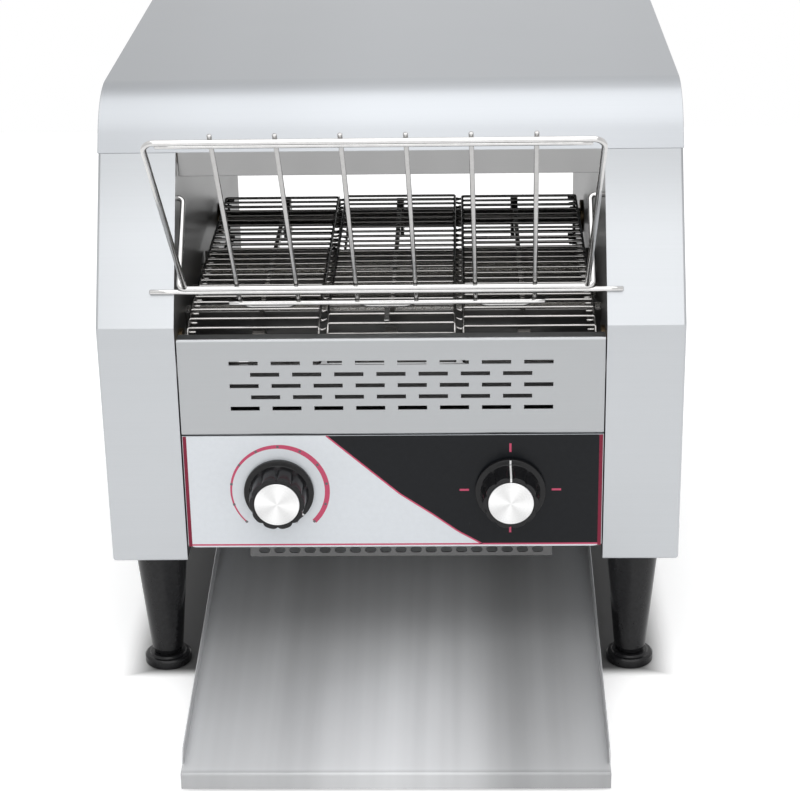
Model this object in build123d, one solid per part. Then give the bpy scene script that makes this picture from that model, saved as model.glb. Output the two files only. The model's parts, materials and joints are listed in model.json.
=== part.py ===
from build123d import *
import math
import os

# Conveyor toaster, in millimetres: x to the right seen from the front, y to the back, z up.
# Depths are counted from the nose, the foremost upright line of the two side boxes. The finished pieces
# are shifted at the end, so that the origin lies on the table under the middle of the whole toaster.

# Body shell
BODY_WIDTH = 368.0
BODY_DEPTH = 418.0
BODY_HEIGHT = 387.0
LEG_HEIGHT = 93.0
HOOD_HEIGHT = 35.0
NOSE_SHARE = 0.552721
SEAM_SETBACK = 57.0
SIDE_BOX_WIDTH = 49.0
SHEET = 1.0
FOLD_RADIUS = 1.8
PANEL_GAP = 0.8
SLIP = 0.3
RUNNING_FIT = 0.05
OVERRUN = 5.0

# Top cover
COVER_OVERHANG = 0.6
COVER_FRONT_RADIUS = 48.0
COVER_REAR_RADIUS = 14.0

# Ventilation slots: length, height, pitch along the row, pitch between rows
FRONT_SLOT = (18.4, 2.7, 26.5, 7.7)
FRONT_SLOT_COUNT = 8
FRONT_SLOT_ROWS = 5
FRONT_SLOT_TOP_MARGIN = 16.0
SIDE_SLOT = (34.0, 3.2, 46.0, 11.0)
SIDE_SLOT_COUNT = 4
SIDE_SLOT_ROWS = 4
SIDE_SLOT_REAR_MARGIN = 115.0
SIDE_SLOT_BOTTOM_MARGIN = 45.0
REAR_SLOT = (26.0, 3.2, 34.0, 11.0)
REAR_SLOT_COUNT = 7
REAR_SLOT_ROWS = 3
LIP_SLOT = (7.5, 4.2, 10.0)
LIP_SLOT_COUNT = 19
LIP_SLOT_RISE = 4.5

# Front panels and control box
FRONT_RECESS = 1.5
VENT_TOP_DROP = 8.5
VENT_HEIGHT = 65.5
VENT_LEDGE = 9.5
VENT_RETURN = 8.0
CONTROL_BOTTOM_RISE = 9.0
LABEL_THICKNESS = 0.6
LABEL_MARGIN = 0.4
LABEL_CORNER = 5.0
BOX_DEPTH = 56.0
BOX_TOP_DROP = 50.0
BASE_FRONT = 20.0
BASE_REAR_GAP = 17.0
BASE_FLANGE = 12.0
LIP_SIDE_GAP = 35.5
LIP_DROP = 7.0
LIP_SHIFT = 3.6

# Rear
REAR_DROP = 67.0
REAR_HEM = 12.0
DEFLECTOR_RISE = 57.0
DEFLECTOR_RADIUS = 30.0
DEFLECTOR_STRAIGHT = 20.0
DEFLECTOR_TURN = 60.0
GLAND_RADIUS = 8.5
GLAND_NUT_RADIUS = 11.0
GLAND_NUT = 5.0
GLAND_REACH = 13.0
GLAND_BORE = 3.8
GLAND_RISE = 32.0

# Conveyor belt and its shafts
BELT_TOP_DROP = 2.5
BELT_SIDE_GAP = 5.0
BELT_WIRE = 1.8
BELT_PITCH = 10.5
BELT_COLUMN_SHARE = 0.333
BELT_STEP_SHARE = 0.4
BELT_HOOK_HALF = 2.75
BELT_HOOK_DEPTH = 2.0
BELT_EDGE_HOOK = 5.0
BELT_BREAK_Y = 48.0
DRIVE_REAR_GAP = 143.0
DRIVE_WRAP = 16.0
IDLER_Y = 24.0
IDLER_WRAP = 12.0
IDLER_DROP = 18.0
DRIVE_SHAFT_RADIUS = 6.0
IDLER_SHAFT_RADIUS = 5.0
SPROCKET_INSET = 46.0
SPROCKET_WIDTH = 5.0
SPROCKET_TEETH = 10
SPROCKET_GULLET = 3.2
ROLLER_WIDTH = 8.0
BUSH_WALL = 3.0
BUSH_FLANGE = 3.0
BUSH_FLANGE_WIDTH = 2.5
BUSH_LENGTH = 9.0
GUIDE_WIDTH = 3.0
GUIDE_REAR_GAP = 26.0
CLIP_LENGTH = 17.0
CLIP_WIDTH = 3.2
CLIP_HEIGHT = 1.0
CLIP_SETBACK = 5.0
CLIP_X = -3.0

# Heaters
TUBE_RADIUS = 5.0
CAP_RADIUS = 8.0
CAP_LENGTH = 14.0
UPPER_TUBES = 4
UPPER_TUBE_DROP = 9.0
UPPER_FRONT_GAP = 0.8
UPPER_SKIRT = 16.0
UPPER_RISE = 13.0
UPPER_SHOULDER = 16.0
UPPER_REAR_GAP = 25.0
LOWER_TUBES = 3
LOWER_TUBE_DROP = 14.0
LOWER_FRONT = 52.0
LOWER_REAR_GAP = 101.0
LOWER_TOP_DROP = 6.0
LOWER_DEPTH = 17.0

# Drive
MOTOR_SETBACK = 50.0
MOTOR_DROP = 72.0
MOTOR_RADIUS = 25.0
MOTOR_COVER_RADIUS = 17.0
MOTOR_SHAFT_RADIUS = 3.5
MOTOR_SEAT = 7.0
CHAIN_OFFSET = 7.0
CHAIN_WIDTH = 5.0
CHAIN_THICKNESS = 4.0
CHAIN_PITCH = 6.35
DRIVEN_TEETH = 20
MOTOR_TEETH = 10
TOOTH_DEPTH = 1.4
BRACKET_OFFSET = 18.0
BRACKET_THICKNESS = 2.0
BRACKET_SIZE = 62.0
BRACKET_CORNER = 8.0
BRACKET_BORE = 7.0
POST_RADIUS = 4.0
POST_INSET = 8.0

# Knobs, spindles and what they turn
SPEED_INSET = 60.8
SELECTOR_INSET = 59.1
KNOB_RAISE = 1.0
KNOB_GAP = 0.8
KNOB_SKIRT_RADIUS = 22.5
KNOB_SKIRT = 3.0
KNOB_BASE_RADIUS = 19.0
KNOB_TOP_RADIUS = 17.6
KNOB_HEIGHT = 20.0
KNOB_FLUTES = 10
KNOB_FLUTE_RADIUS = 4.0
KNOB_FLUTE_DEPTH = 1.6
KNOB_EDGE = 0.8
CAP_DISC_RADIUS = 14.4
CAP_DISC_THICKNESS = 1.2
CAP_DISC_PROUD = 0.4
SPINDLE_RADIUS = 3.0
SPINDLE_SEAT = 10.0
SPINDLE_DEPTH = 7.0
COLLAR_RADIUS = 4.6
REGULATOR_RADIUS = 12.0
REGULATOR_LENGTH = 13.0
SWITCH_SIZE = 36.0
SWITCH_LENGTH = 26.0
SWITCH_CORNER = 4.0
BOARD_LENGTH = 58.0
BOARD_WIDTH = 28.0
BOARD_THICKNESS = 1.6
BOARD_RISE = 6.0
BOARD_POST_RADIUS = 2.5
BOARD_POST_INSET = 5.0
TERMINAL_LENGTH = 40.0
TERMINAL_WIDTH = 16.0
TERMINAL_HEIGHT = 14.0
TERMINAL_POLES = 5
TERMINAL_GROOVE = 1.5
TERMINAL_GROOVE_DEPTH = 5.0
TERMINAL_REAR_GAP = 68.0
TERMINAL_RISE = 70.0

# Loading rack
RACK_LEAN = 34.5
RACK_LENGTH = 145.4
RACK_SIDE_GAP = 10.0
RACK_SPLAY = 6.5
RACK_SHIFT = -2.5
RACK_SKEW = -2.6
FRAME_WIRE = 3.5
FRAME_BEND = 7.0
BAR_WIRE = 3.4
BAR_BEND = 3.4
CROSS_WIRE = 2.9
CROSS_INSET = 32.25
CROSS_TIP = 0.4
CROSS_PAIRS = 3
HAIRPIN_DROP = 20.0
HAIRPIN_BEND = 8.0
TOP_ROD_WIRE = 3.1
TOP_ROD_INSET = 7.5
FRONT_ROD_DROP = 13.0
FRONT_ROD_INSET = 26.2
PIN_RISE = 20.5
PIN_OVERLAP = 12.0
PIVOT_DROP = 28.0
PIVOT_DEPTH = 11.0
PIVOT_END = 6.0
HANGER_GAP = 6.4

# Slide-out tray
TRAY_REACH = 128.0
TRAY_FRONT_HEIGHT = 12.5
TRAY_LIP_BOTTOM = 1.5
TRAY_SLOPE = 6.97
TRAY_REAR_GAP = 13.0
TRAY_SIDE_GAP = 3.3
TRAY_SHIFT = 2.3
TRAY_WALL = 8.0
TRAY_WALL_SETBACK = 9.0
TRAY_WALL_ROUND = 6.0
LEDGE_FRONT_GAP = 118.0
LEDGE_REAR_GAP = 60.0
LEDGE_WIDTH = 14.0
LEDGE_SHEET = 1.5
LEDGE_FLANGE = 15.0

# Legs and feet
LEG_INSET_X = 26.9
LEG_FRONT_Y = 35.0
LEG_TOP_RADIUS = 17.9
LEG_FOOT_RADIUS = 10.2
LEG_BASE_HEIGHT = 8.0
LEG_BORE = 5.0
FOOT_RADIUS = 15.7
FOOT_PAD = 6.5
FOOT_EDGE = 1.2
FOOT_COLLAR_RADIUS = 12.0
FOOT_STEM = 25.0

# Places worked out from the sizes
BODY_HALF = BODY_WIDTH / 2
SEAM_HEIGHT = BODY_HEIGHT - HOOD_HEIGHT
NOSE_HEIGHT = LEG_HEIGHT + (BODY_HEIGHT - LEG_HEIGHT) * NOSE_SHARE
CHAMBER_HALF = BODY_HALF - SIDE_BOX_WIDTH
PANEL_HALF = CHAMBER_HALF - PANEL_GAP
SPEED_X = SPEED_INSET - PANEL_HALF
SELECTOR_X = PANEL_HALF - SELECTOR_INSET
BACK_REACH = BODY_DEPTH + GLAND_REACH
ORIGIN_DEPTH = (BACK_REACH - TRAY_REACH) / 2
FRONT_SLOPE = SEAM_SETBACK / (SEAM_HEIGHT - NOSE_HEIGHT)
FRONT_STRETCH = math.hypot(1, FRONT_SLOPE)
VENT_TOP = NOSE_HEIGHT - VENT_TOP_DROP
VENT_BOTTOM = VENT_TOP - VENT_HEIGHT
CONTROL_TOP = VENT_BOTTOM - SLIP
CONTROL_BOTTOM = LEG_HEIGHT + CONTROL_BOTTOM_RISE
CONTROL_FACE = FRONT_RECESS + LABEL_THICKNESS
KNOB_Z = (CONTROL_TOP + CONTROL_BOTTOM) / 2 + KNOB_RAISE
BELT_TOP_Z = NOSE_HEIGHT - BELT_TOP_DROP
BOX_TOP = BELT_TOP_Z - BOX_TOP_DROP
DRIVE_Y = BODY_DEPTH - DRIVE_REAR_GAP
DRIVE_Z = BELT_TOP_Z - DRIVE_WRAP
IDLER_Z = BELT_TOP_Z - IDLER_DROP
WIRE_HALF = BELT_WIRE / 2
UPPER_TUBE_Z = SEAM_HEIGHT - UPPER_TUBE_DROP
LOWER_TUBE_Z = BELT_TOP_Z - LOWER_TUBE_DROP
LOWER_TOP = BELT_TOP_Z - LOWER_TOP_DROP
TRAY_HALF = CHAMBER_HALF - TRAY_SIDE_GAP
TRAY_RISE = math.tan(math.radians(TRAY_SLOPE))
TRAY_REAR = BODY_DEPTH - TRAY_REAR_GAP
LIP_HALF = CHAMBER_HALF - LIP_SIDE_GAP
REAR_OPENING_TOP = SEAM_HEIGHT - REAR_DROP
DEFLECTOR_TOP = LEG_HEIGHT + DEFLECTOR_RISE
GLAND_X = -(CHAMBER_HALF + BODY_HALF) / 2
GLAND_Z = LEG_HEIGHT + GLAND_RISE
BELT_HALF = CHAMBER_HALF - BELT_SIDE_GAP
SPROCKET_OFFSET = BELT_HALF - SPROCKET_INSET
UPPER_REAR = DRIVE_Y - UPPER_REAR_GAP
LOWER_REAR = DRIVE_Y - LOWER_REAR_GAP
MOTOR_Y = DRIVE_Y + MOTOR_SETBACK
MOTOR_Z = DRIVE_Z - MOTOR_DROP
BRACKET_X = CHAMBER_HALF + SHEET + BRACKET_OFFSET
CHAIN_X = CHAMBER_HALF + SHEET + CHAIN_OFFSET
DRIVEN_PITCH_RADIUS = CHAIN_PITCH * DRIVEN_TEETH / (2 * math.pi)
MOTOR_PITCH_RADIUS = CHAIN_PITCH * MOTOR_TEETH / (2 * math.pi)
TERMINAL_Y = BODY_DEPTH - TERMINAL_REAR_GAP
LEAN = math.radians(RACK_LEAN)
RACK_HALF = CHAMBER_HALF - RACK_SIDE_GAP
RACK_TOP_HALF = RACK_HALF + RACK_SPLAY
CROSS_PITCH = 2 * (RACK_HALF - CROSS_INSET) / (2 * CROSS_PAIRS - 1)
TOP_ROD_HALF = RACK_TOP_HALF - TOP_ROD_INSET
FRONT_ROD_HALF = RACK_HALF - FRONT_ROD_INSET
HANGER_X = CHAMBER_HALF - HANGER_GAP
PIN_HEIGHT = NOSE_HEIGHT + PIN_RISE
PIN_HALF = CHAMBER_HALF + PIN_OVERLAP
PIN_OFFSET = (CROSS_WIRE + BAR_WIRE) / 2
PIVOT_HEIGHT = SEAM_HEIGHT - PIVOT_DROP
LEG_PLACES = {
    "front_left": (-1, LEG_FRONT_Y),
    "front_right": (1, LEG_FRONT_Y),
    "rear_left": (-1, BODY_DEPTH - LEG_FRONT_Y),
    "rear_right": (1, BODY_DEPTH - LEG_FRONT_Y),
}


def block(x0, x1, y0, y1, z0, z1):
    """Box between two corners."""
    middle = Pos((x0 + x1) / 2, (y0 + y1) / 2, (z0 + z1) / 2)
    return middle * Box(x1 - x0, y1 - y0, z1 - z0)


def across(outline, x0, x1):
    """Side view outline carried straight across from x0 to x1."""
    return extrude(Plane.YZ.offset(x0) * outline, amount=x1 - x0)


def polygon(points):
    """Flat face with straight sides."""
    return make_face(Polyline(*points, close=True))


def fold(points, thickness=SHEET):
    """Cross-section of a sheet along an open line of points, thick to the left, with rounded bends."""
    steps = [Vector(b) - Vector(a) for a, b in zip(points, points[1:])]
    sides = [Vector(-step.Y, step.X).normalized() for step in steps]
    sides = [sides[0]] + sides + [sides[-1]]
    left = []
    for point, before, after in zip(points, sides, sides[1:]):
        corner = Vector(point) + (before + after) * (thickness / (1 + before.dot(after)))
        left.append((corner.X, corner.Y))
    face = polygon(list(points) + left[::-1])
    for index in range(1, len(steps)):
        turns_left = steps[index - 1].cross(steps[index]).Z > 0
        outer, inner = (points, left) if turns_left else (left, points)
        for corner, radius in ((outer[index], FOLD_RADIUS), (inner[index], FOLD_RADIUS - thickness)):
            face = fillet(face.vertices().sort_by_distance(corner)[0], radius)
    return face


def rod(start, end, radius):
    """Straight round rod between two points."""
    axis = Vector(end) - Vector(start)
    return Solid.make_cylinder(radius, axis.length, Plane(origin=start, z_dir=axis))


def bent_rod(points, radius, bend):
    """Round wire along straight runs with bent corners."""
    path = FilletPolyline(*points, radius=bend)
    return sweep(Plane(origin=path @ 0, z_dir=path % 0) * Circle(radius), path=path)


def ring(start, end, outer, inner):
    """Round sleeve between two points."""
    axis = Vector(end) - Vector(start)
    plane = Plane(origin=start, z_dir=axis)
    return extrude(plane * (Circle(outer) - Circle(inner)), amount=axis.length)


def facing_front(x, y, z):
    """Plane whose normal points out of the front of the toaster."""
    return Plane(origin=(x, y, z), x_dir=(1, 0, 0), z_dir=(0, -1, 0))


def both_sides(shape):
    """A piece and its mirror image on the other side."""
    return [shape, mirror(shape, Plane.YZ)]


def centred(count, pitch):
    """Places of a row of copies about zero."""
    return [(index - (count - 1) / 2) * pitch for index in range(count)]


def front_y(z, inset=0):
    """Depth of the slanted front at height z, a sheet inset behind its face."""
    return SEAM_SETBACK + (z - SEAM_HEIGHT) * FRONT_SLOPE + inset * FRONT_STRETCH


def side_outline(inset, top):
    """Side view of a side box, drawn in by inset at the front, the bottom and the back."""
    nose = SEAM_HEIGHT + (inset - SEAM_SETBACK - inset * FRONT_STRETCH) / FRONT_SLOPE
    bottom = LEG_HEIGHT + inset
    back = BODY_DEPTH - inset
    face = polygon([(inset, bottom), (inset, nose), (front_y(top, inset), top), (back, top), (back, bottom)])
    corners = [(inset, bottom), (inset, nose), (back, bottom)]
    bends = [face.vertices().sort_by_distance(corner)[0] for corner in corners]
    return fillet(bends, FOLD_RADIUS - inset)


def side_block(inset, top, inner):
    """Solid side box drawn in by inset, from inner to its outer wall, with rounded outer edges."""
    solid = across(side_outline(inset, top), inner, BODY_HALF - inset)
    rim = solid.faces().sort_by(Axis.X)[-1].edges().sort_by(Axis.Z)[:-1]
    return fillet(rim, FOLD_RADIUS - inset)


def tray_z(y):
    """Height of the tray's floor at a depth."""
    return TRAY_FRONT_HEIGHT + (y + TRAY_REACH) * TRAY_RISE


# Places on the slanted front
PIVOT_Y = front_y(PIVOT_HEIGHT) + PIVOT_DEPTH
PIN_Y = front_y(PIN_HEIGHT) - (BAR_WIRE / 2 + SLIP) * FRONT_STRETCH


def top_cover():
    """Folded hood: slanted front lip, large front bend, flat top and short rear."""
    def outline(inset, bottom):
        top = BODY_HEIGHT - inset
        back = BODY_DEPTH - inset
        face = polygon([(front_y(bottom, inset), bottom), (front_y(top, inset), top),
                        (back, top), (back, bottom)])
        upper = face.vertices().group_by(Axis.Y)[-1].sort_by(Axis.X)
        face = fillet(upper[0], COVER_FRONT_RADIUS - inset)
        return fillet(face.vertices().group_by(Axis.Y)[-1].sort_by(Axis.X)[-1], COVER_REAR_RADIUS - inset)

    half = BODY_HALF + COVER_OVERHANG
    shell = across(outline(0, SEAM_HEIGHT), -half, half)
    return shell - across(outline(SHEET, SEAM_HEIGHT - OVERRUN), SHEET - half, half - SHEET)


def side_panel():
    """Right side box: outer wall, front, bottom and back in one folded sheet, open inwards and upwards."""
    panel = side_block(0, SEAM_HEIGHT, CHAMBER_HALF)
    panel -= side_block(SHEET, SEAM_HEIGHT + OVERRUN, CHAMBER_HALF - OVERRUN)
    length, height, pitch, row_pitch = SIDE_SLOT
    middle_y = BODY_DEPTH - SIDE_SLOT_REAR_MARGIN
    slots = []
    for row in range(SIDE_SLOT_ROWS):
        z = LEG_HEIGHT + SIDE_SLOT_BOTTOM_MARGIN + row * row_pitch
        for offset in centred(SIDE_SLOT_COUNT, pitch):
            y = middle_y + offset
            slots.append(block(BODY_HALF - OVERRUN, BODY_HALF + OVERRUN,
                               y - length / 2, y + length / 2, z - height / 2, z + height / 2))
    return panel - slots


def inner_wall():
    """Right wall of the toasting chamber with its bearing, heater and rack holes."""
    wall = across(side_outline(SHEET, SEAM_HEIGHT), CHAMBER_HALF, CHAMBER_HALF + SHEET)
    holes = [(DRIVE_Y, DRIVE_Z, DRIVE_SHAFT_RADIUS + BUSH_WALL),
             (IDLER_Y, IDLER_Z, IDLER_SHAFT_RADIUS + BUSH_WALL)]
    holes += [(y, UPPER_TUBE_Z, TUBE_RADIUS + SLIP) for y in upper_tube_places()]
    holes += [(y, LOWER_TUBE_Z, TUBE_RADIUS + SLIP) for y in lower_tube_places()]
    holes += [(PIVOT_Y, PIVOT_HEIGHT, BAR_WIRE / 2 + RUNNING_FIT)]
    start = CHAMBER_HALF - OVERRUN
    end = CHAMBER_HALF + SHEET + OVERRUN
    return wall - [rod((start, y, z), (end, y, z), radius) for y, z, radius in holes]


def rear_panel():
    """Upper rear wall between the side boxes, hemmed over the open rear of the chamber."""
    back = BODY_DEPTH
    line = [(back - REAR_HEM, REAR_OPENING_TOP), (back, REAR_OPENING_TOP), (back, SEAM_HEIGHT)]
    panel = across(fold(line), -PANEL_HALF, PANEL_HALF)
    length, height, pitch, row_pitch = REAR_SLOT
    middle = (REAR_OPENING_TOP + SEAM_HEIGHT) / 2
    slots = [block(x - length / 2, x + length / 2, back - OVERRUN, back + OVERRUN,
                   z - height / 2, z + height / 2)
             for x in centred(REAR_SLOT_COUNT, pitch)
             for z in [middle + rise for rise in centred(REAR_SLOT_ROWS, row_pitch)]]
    return panel - slots


def toast_deflector():
    """Curved plate low at the back that turns falling toast towards the tray."""
    back = BODY_DEPTH - SHEET - SLIP
    outer = DEFLECTOR_RADIUS
    inner = DEFLECTOR_RADIUS - SHEET
    low = DEFLECTOR_TOP - DEFLECTOR_STRAIGHT
    centre = back - outer
    turn = math.radians(DEFLECTOR_TURN)
    tip_y = math.cos(turn)
    tip_z = math.sin(turn)
    half_y = math.cos(turn / 2)
    half_z = math.sin(turn / 2)
    outline = Curve() + [
        Line((back - SHEET, DEFLECTOR_TOP), (back, DEFLECTOR_TOP)),
        Line((back, DEFLECTOR_TOP), (back, low)),
        ThreePointArc((back, low), (centre + outer * half_y, low - outer * half_z),
                      (centre + outer * tip_y, low - outer * tip_z)),
        Line((centre + outer * tip_y, low - outer * tip_z), (centre + inner * tip_y, low - inner * tip_z)),
        ThreePointArc((centre + inner * tip_y, low - inner * tip_z),
                      (centre + inner * half_y, low - inner * half_z), (back - SHEET, low)),
        Line((back - SHEET, low), (back - SHEET, DEFLECTOR_TOP)),
    ]
    return across(make_face(outline), -PANEL_HALF, PANEL_HALF)


def vent_panel():
    """Upper front panel with offset rows of slots, folded back at its top and bottom edges."""
    face = FRONT_RECESS
    line = [(face + VENT_LEDGE, VENT_TOP), (face, VENT_TOP),
            (face, VENT_BOTTOM), (face + VENT_RETURN, VENT_BOTTOM)]
    panel = across(fold(line), -PANEL_HALF, PANEL_HALF)
    length, height, pitch, row_pitch = FRONT_SLOT
    slots = []
    for row in range(FRONT_SLOT_ROWS):
        z = VENT_TOP - FRONT_SLOT_TOP_MARGIN - row * row_pitch
        for x in centred(FRONT_SLOT_COUNT - row % 2, pitch):
            slots.append(block(x - length / 2, x + length / 2, face - OVERRUN, face + VENT_RETURN / 2,
                               z - height / 2, z + height / 2))
    return panel - slots


def control_panel():
    """Lower front panel that carries the knobs, its bottom edge folded back and down to the base plate."""
    line = [(CONTROL_FACE, CONTROL_TOP), (CONTROL_FACE, CONTROL_BOTTOM),
            (BASE_FRONT + SHEET, CONTROL_BOTTOM), (BASE_FRONT + SHEET, LEG_HEIGHT + SHEET)]
    panel = across(fold(line), -PANEL_HALF, PANEL_HALF)
    return panel - spindle_holes()


def spindle_holes():
    """Cutters for the collars of the two controls."""
    return [rod((x, -OVERRUN, KNOB_Z), (x, CONTROL_FACE + OVERRUN, KNOB_Z), COLLAR_RADIUS)
            for x in (SPEED_X, SELECTOR_X)]


def control_label():
    """Thin printed plate in front of the control panel, with rounded lower corners."""
    half = PANEL_HALF - LABEL_MARGIN
    bottom = CONTROL_BOTTOM + LABEL_MARGIN / 2
    top = CONTROL_TOP - LABEL_MARGIN / 2
    plate = block(-half, half, FRONT_RECESS, CONTROL_FACE, bottom, top)
    lower = plate.edges().filter_by(Axis.Y).group_by(Axis.Z)[0]
    return fillet(lower, LABEL_CORNER) - spindle_holes()


def base_plate():
    """Floor under the belt, with side flanges and a pierced lip turned down at its front."""
    rear = DRIVE_Y - BASE_REAR_GAP
    plate = block(-PANEL_HALF, PANEL_HALF, BASE_FRONT, rear, LEG_HEIGHT, LEG_HEIGHT + SHEET)
    flange = block(PANEL_HALF - SHEET, PANEL_HALF, BASE_FRONT + BOX_DEPTH, rear,
                   LEG_HEIGHT, LEG_HEIGHT + BASE_FLANGE)
    lip = block(LIP_SHIFT - LIP_HALF, LIP_SHIFT + LIP_HALF, BASE_FRONT, BASE_FRONT + SHEET,
                LEG_HEIGHT - LIP_DROP, LEG_HEIGHT)
    length, height, pitch = LIP_SLOT
    z = LEG_HEIGHT - LIP_DROP + LIP_SLOT_RISE
    cutter = extrude(Plane.XZ * SlotOverall(length, height), amount=OVERRUN, both=True)
    slots = [Pos(LIP_SHIFT + x, BASE_FRONT, z) * cutter for x in centred(LIP_SLOT_COUNT, pitch)]
    return plate + both_sides(flange) + (lip - slots)


def control_box():
    """Cover over the controls: a roof under the belt and a wall down to the base plate."""
    roof_front = FRONT_RECESS + SHEET + SLIP
    line = [(BOX_DEPTH, LEG_HEIGHT + SHEET), (BOX_DEPTH, BOX_TOP), (roof_front, BOX_TOP)]
    return across(fold(line), -PANEL_HALF, PANEL_HALF)


def cable_gland():
    """Hollow gland in the back of the left side box, with its nuts inside and outside."""
    start = BODY_DEPTH - SHEET - GLAND_NUT
    stretches = [(start, BACK_REACH, GLAND_RADIUS), (start, BODY_DEPTH - SHEET, GLAND_NUT_RADIUS),
                 (BODY_DEPTH, BODY_DEPTH + GLAND_NUT, GLAND_NUT_RADIUS)]
    sleeve, *nuts = [ring((GLAND_X, near, GLAND_Z), (GLAND_X, far, GLAND_Z), radius, GLAND_BORE)
                     for near, far, radius in stretches]
    return sleeve + nuts


def gland_hole():
    """Cutter for the gland in the left side box."""
    start = BODY_DEPTH - OVERRUN
    end = BODY_DEPTH + OVERRUN
    return rod((GLAND_X, start, GLAND_Z), (GLAND_X, end, GLAND_Z), GLAND_RADIUS)


def upper_tube_places():
    """Depths of the upper heaters."""
    middle = (SEAM_SETBACK + UPPER_REAR) / 2
    return [middle + offset for offset in centred(UPPER_TUBES, (UPPER_REAR - SEAM_SETBACK) / UPPER_TUBES)]


def lower_tube_places():
    """Depths of the lower heaters."""
    middle = (LOWER_FRONT + LOWER_REAR) / 2
    return [middle + offset for offset in centred(LOWER_TUBES, (LOWER_REAR - LOWER_FRONT) / LOWER_TUBES)]


def upper_reflector():
    """Trough over the upper heaters, whose front skirt shows under the top cover."""
    front = front_y(SEAM_HEIGHT, SHEET) + UPPER_FRONT_GAP
    low = SEAM_HEIGHT - UPPER_SKIRT
    high = SEAM_HEIGHT + UPPER_RISE
    line = [(UPPER_REAR, low), (UPPER_REAR, SEAM_HEIGHT), (UPPER_REAR - UPPER_SHOULDER, high),
            (front + UPPER_SHOULDER, high), (front, SEAM_HEIGHT), (front, low)]
    return across(fold(line), -PANEL_HALF, PANEL_HALF)


def lower_reflector():
    """Trough under the lower heaters, between the two runs of the belt."""
    low = LOWER_TOP - LOWER_DEPTH
    line = [(LOWER_FRONT, LOWER_TOP), (LOWER_FRONT, low), (LOWER_REAR, low), (LOWER_REAR, LOWER_TOP)]
    return across(fold(line), -PANEL_HALF, PANEL_HALF)


def heater_tubes(places, z):
    """Quartz tubes that run through both chamber walls."""
    half = CHAMBER_HALF + SHEET + CAP_LENGTH
    return [rod((-half, y, z), (half, y, z), TUBE_RADIUS) for y in places]


def heater_caps(places, z):
    """Ceramic caps on the tube ends, seated on the chamber walls inside the side boxes."""
    start = CHAMBER_HALF + SHEET
    caps = []
    for y in places:
        caps += both_sides(ring((start, y, z), (start + CAP_LENGTH, y, z), CAP_RADIUS, TUBE_RADIUS))
    return caps


def belt_path():
    """Closed side view line of the belt as straight and round stretches, and its length.

    The top run goes forward from the drive shaft, breaks down to the idler, wraps it and returns below.
    """
    drive = Vector(DRIVE_Y, DRIVE_Z)
    idler = Vector(IDLER_Y, IDLER_Z)
    bend = Vector(BELT_BREAK_Y, BELT_TOP_Z)
    reach = bend - idler
    front_turn = math.atan2(reach.Y, reach.X) + math.acos(IDLER_WRAP / reach.length)
    line = drive - idler
    low_turn = 2 * math.pi + math.atan2(line.Y, line.X) - math.acos((IDLER_WRAP - DRIVE_WRAP) / line.length)
    top = drive + Vector(0, DRIVE_WRAP)
    front = idler + Vector(math.cos(front_turn), math.sin(front_turn)) * IDLER_WRAP
    low_front = idler + Vector(math.cos(low_turn), math.sin(low_turn)) * IDLER_WRAP
    low_back = drive + Vector(math.cos(low_turn), math.sin(low_turn)) * DRIVE_WRAP
    rear_turn = 2.5 * math.pi
    return [("line", top, bend, (bend - top).length),
            ("line", bend, front, (front - bend).length),
            ("arc", idler, (IDLER_WRAP, front_turn), IDLER_WRAP * (low_turn - front_turn)),
            ("line", low_front, low_back, (low_back - low_front).length),
            ("arc", drive, (DRIVE_WRAP, low_turn), DRIVE_WRAP * (rear_turn - low_turn))]


def belt_point(stretches, along, lift):
    """Depth and height at a distance along the belt, lifted off its line to the outside."""
    along %= sum(stretch[-1] for stretch in stretches)
    for kind, start, end, length in stretches:
        if along <= length:
            break
        along -= length
    if kind == "line":
        step = (end - start).normalized()
        place = start + step * along + Vector(step.Y, -step.X) * lift
    else:
        radius, turn = end
        turn += along / radius
        place = start + Vector(math.cos(turn), math.sin(turn)) * (radius + lift)
    return place.X, place.Y


def square_wire(points, side):
    """Wire of square section along straight runs with mitred corners, built from its flat faces."""
    points = [Vector(point) for point in points]
    runs = [(b - a).normalized() for a, b in zip(points, points[1:])]
    across_run = runs[0].cross(Vector(0, 0, 1))
    across_run = across_run.normalized() * (side / 2)
    up_run = runs[0].cross(across_run)
    section = [points[0] + across_run * a + up_run * b for a, b in ((1, 1), (-1, 1), (-1, -1), (1, -1))]
    sections = [section]
    for index, run in enumerate(runs):
        ahead = runs[min(index + 1, len(runs) - 1)]
        mitre = run + ahead
        target = points[index + 1]
        section = [corner + run * ((target - corner).dot(mitre) / run.dot(mitre)) for corner in section]
        sections.append(section)
    faces = [Face(Wire.make_polygon(sections[0])), Face(Wire.make_polygon(sections[-1]))]
    for near, far in zip(sections, sections[1:]):
        for index in range(len(near)):
            following = (index + 1) % len(near)
            faces.append(Face(Wire.make_polygon([near[index], near[following], far[following], far[index]])))
    return Solid(Shell(faces))


def strand_line(pitch):
    """One belt strand as places across, along and above the belt.

    Its ends and two columns in between hook forward under the strand in front. Its middle is stepped back.
    """
    edge = BELT_HALF - WIRE_HALF
    column = edge * BELT_COLUMN_SHARE
    step = -pitch * BELT_STEP_SHARE
    reach = pitch + BELT_HOOK_DEPTH
    under = -BELT_HOOK_DEPTH
    outer = [(-edge + BELT_EDGE_HOOK, reach, under), (-edge, reach, under), (-edge, 0, 0)]
    left = -column - BELT_HOOK_HALF
    right = -column + BELT_HOOK_HALF
    hook = [(left, 0, 0), (left, reach, under), (right, reach + step, under), (right, step, 0)]
    half = outer + hook
    return half + [(-across_belt, along, lift) for across_belt, along, lift in half[::-1]]


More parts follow.
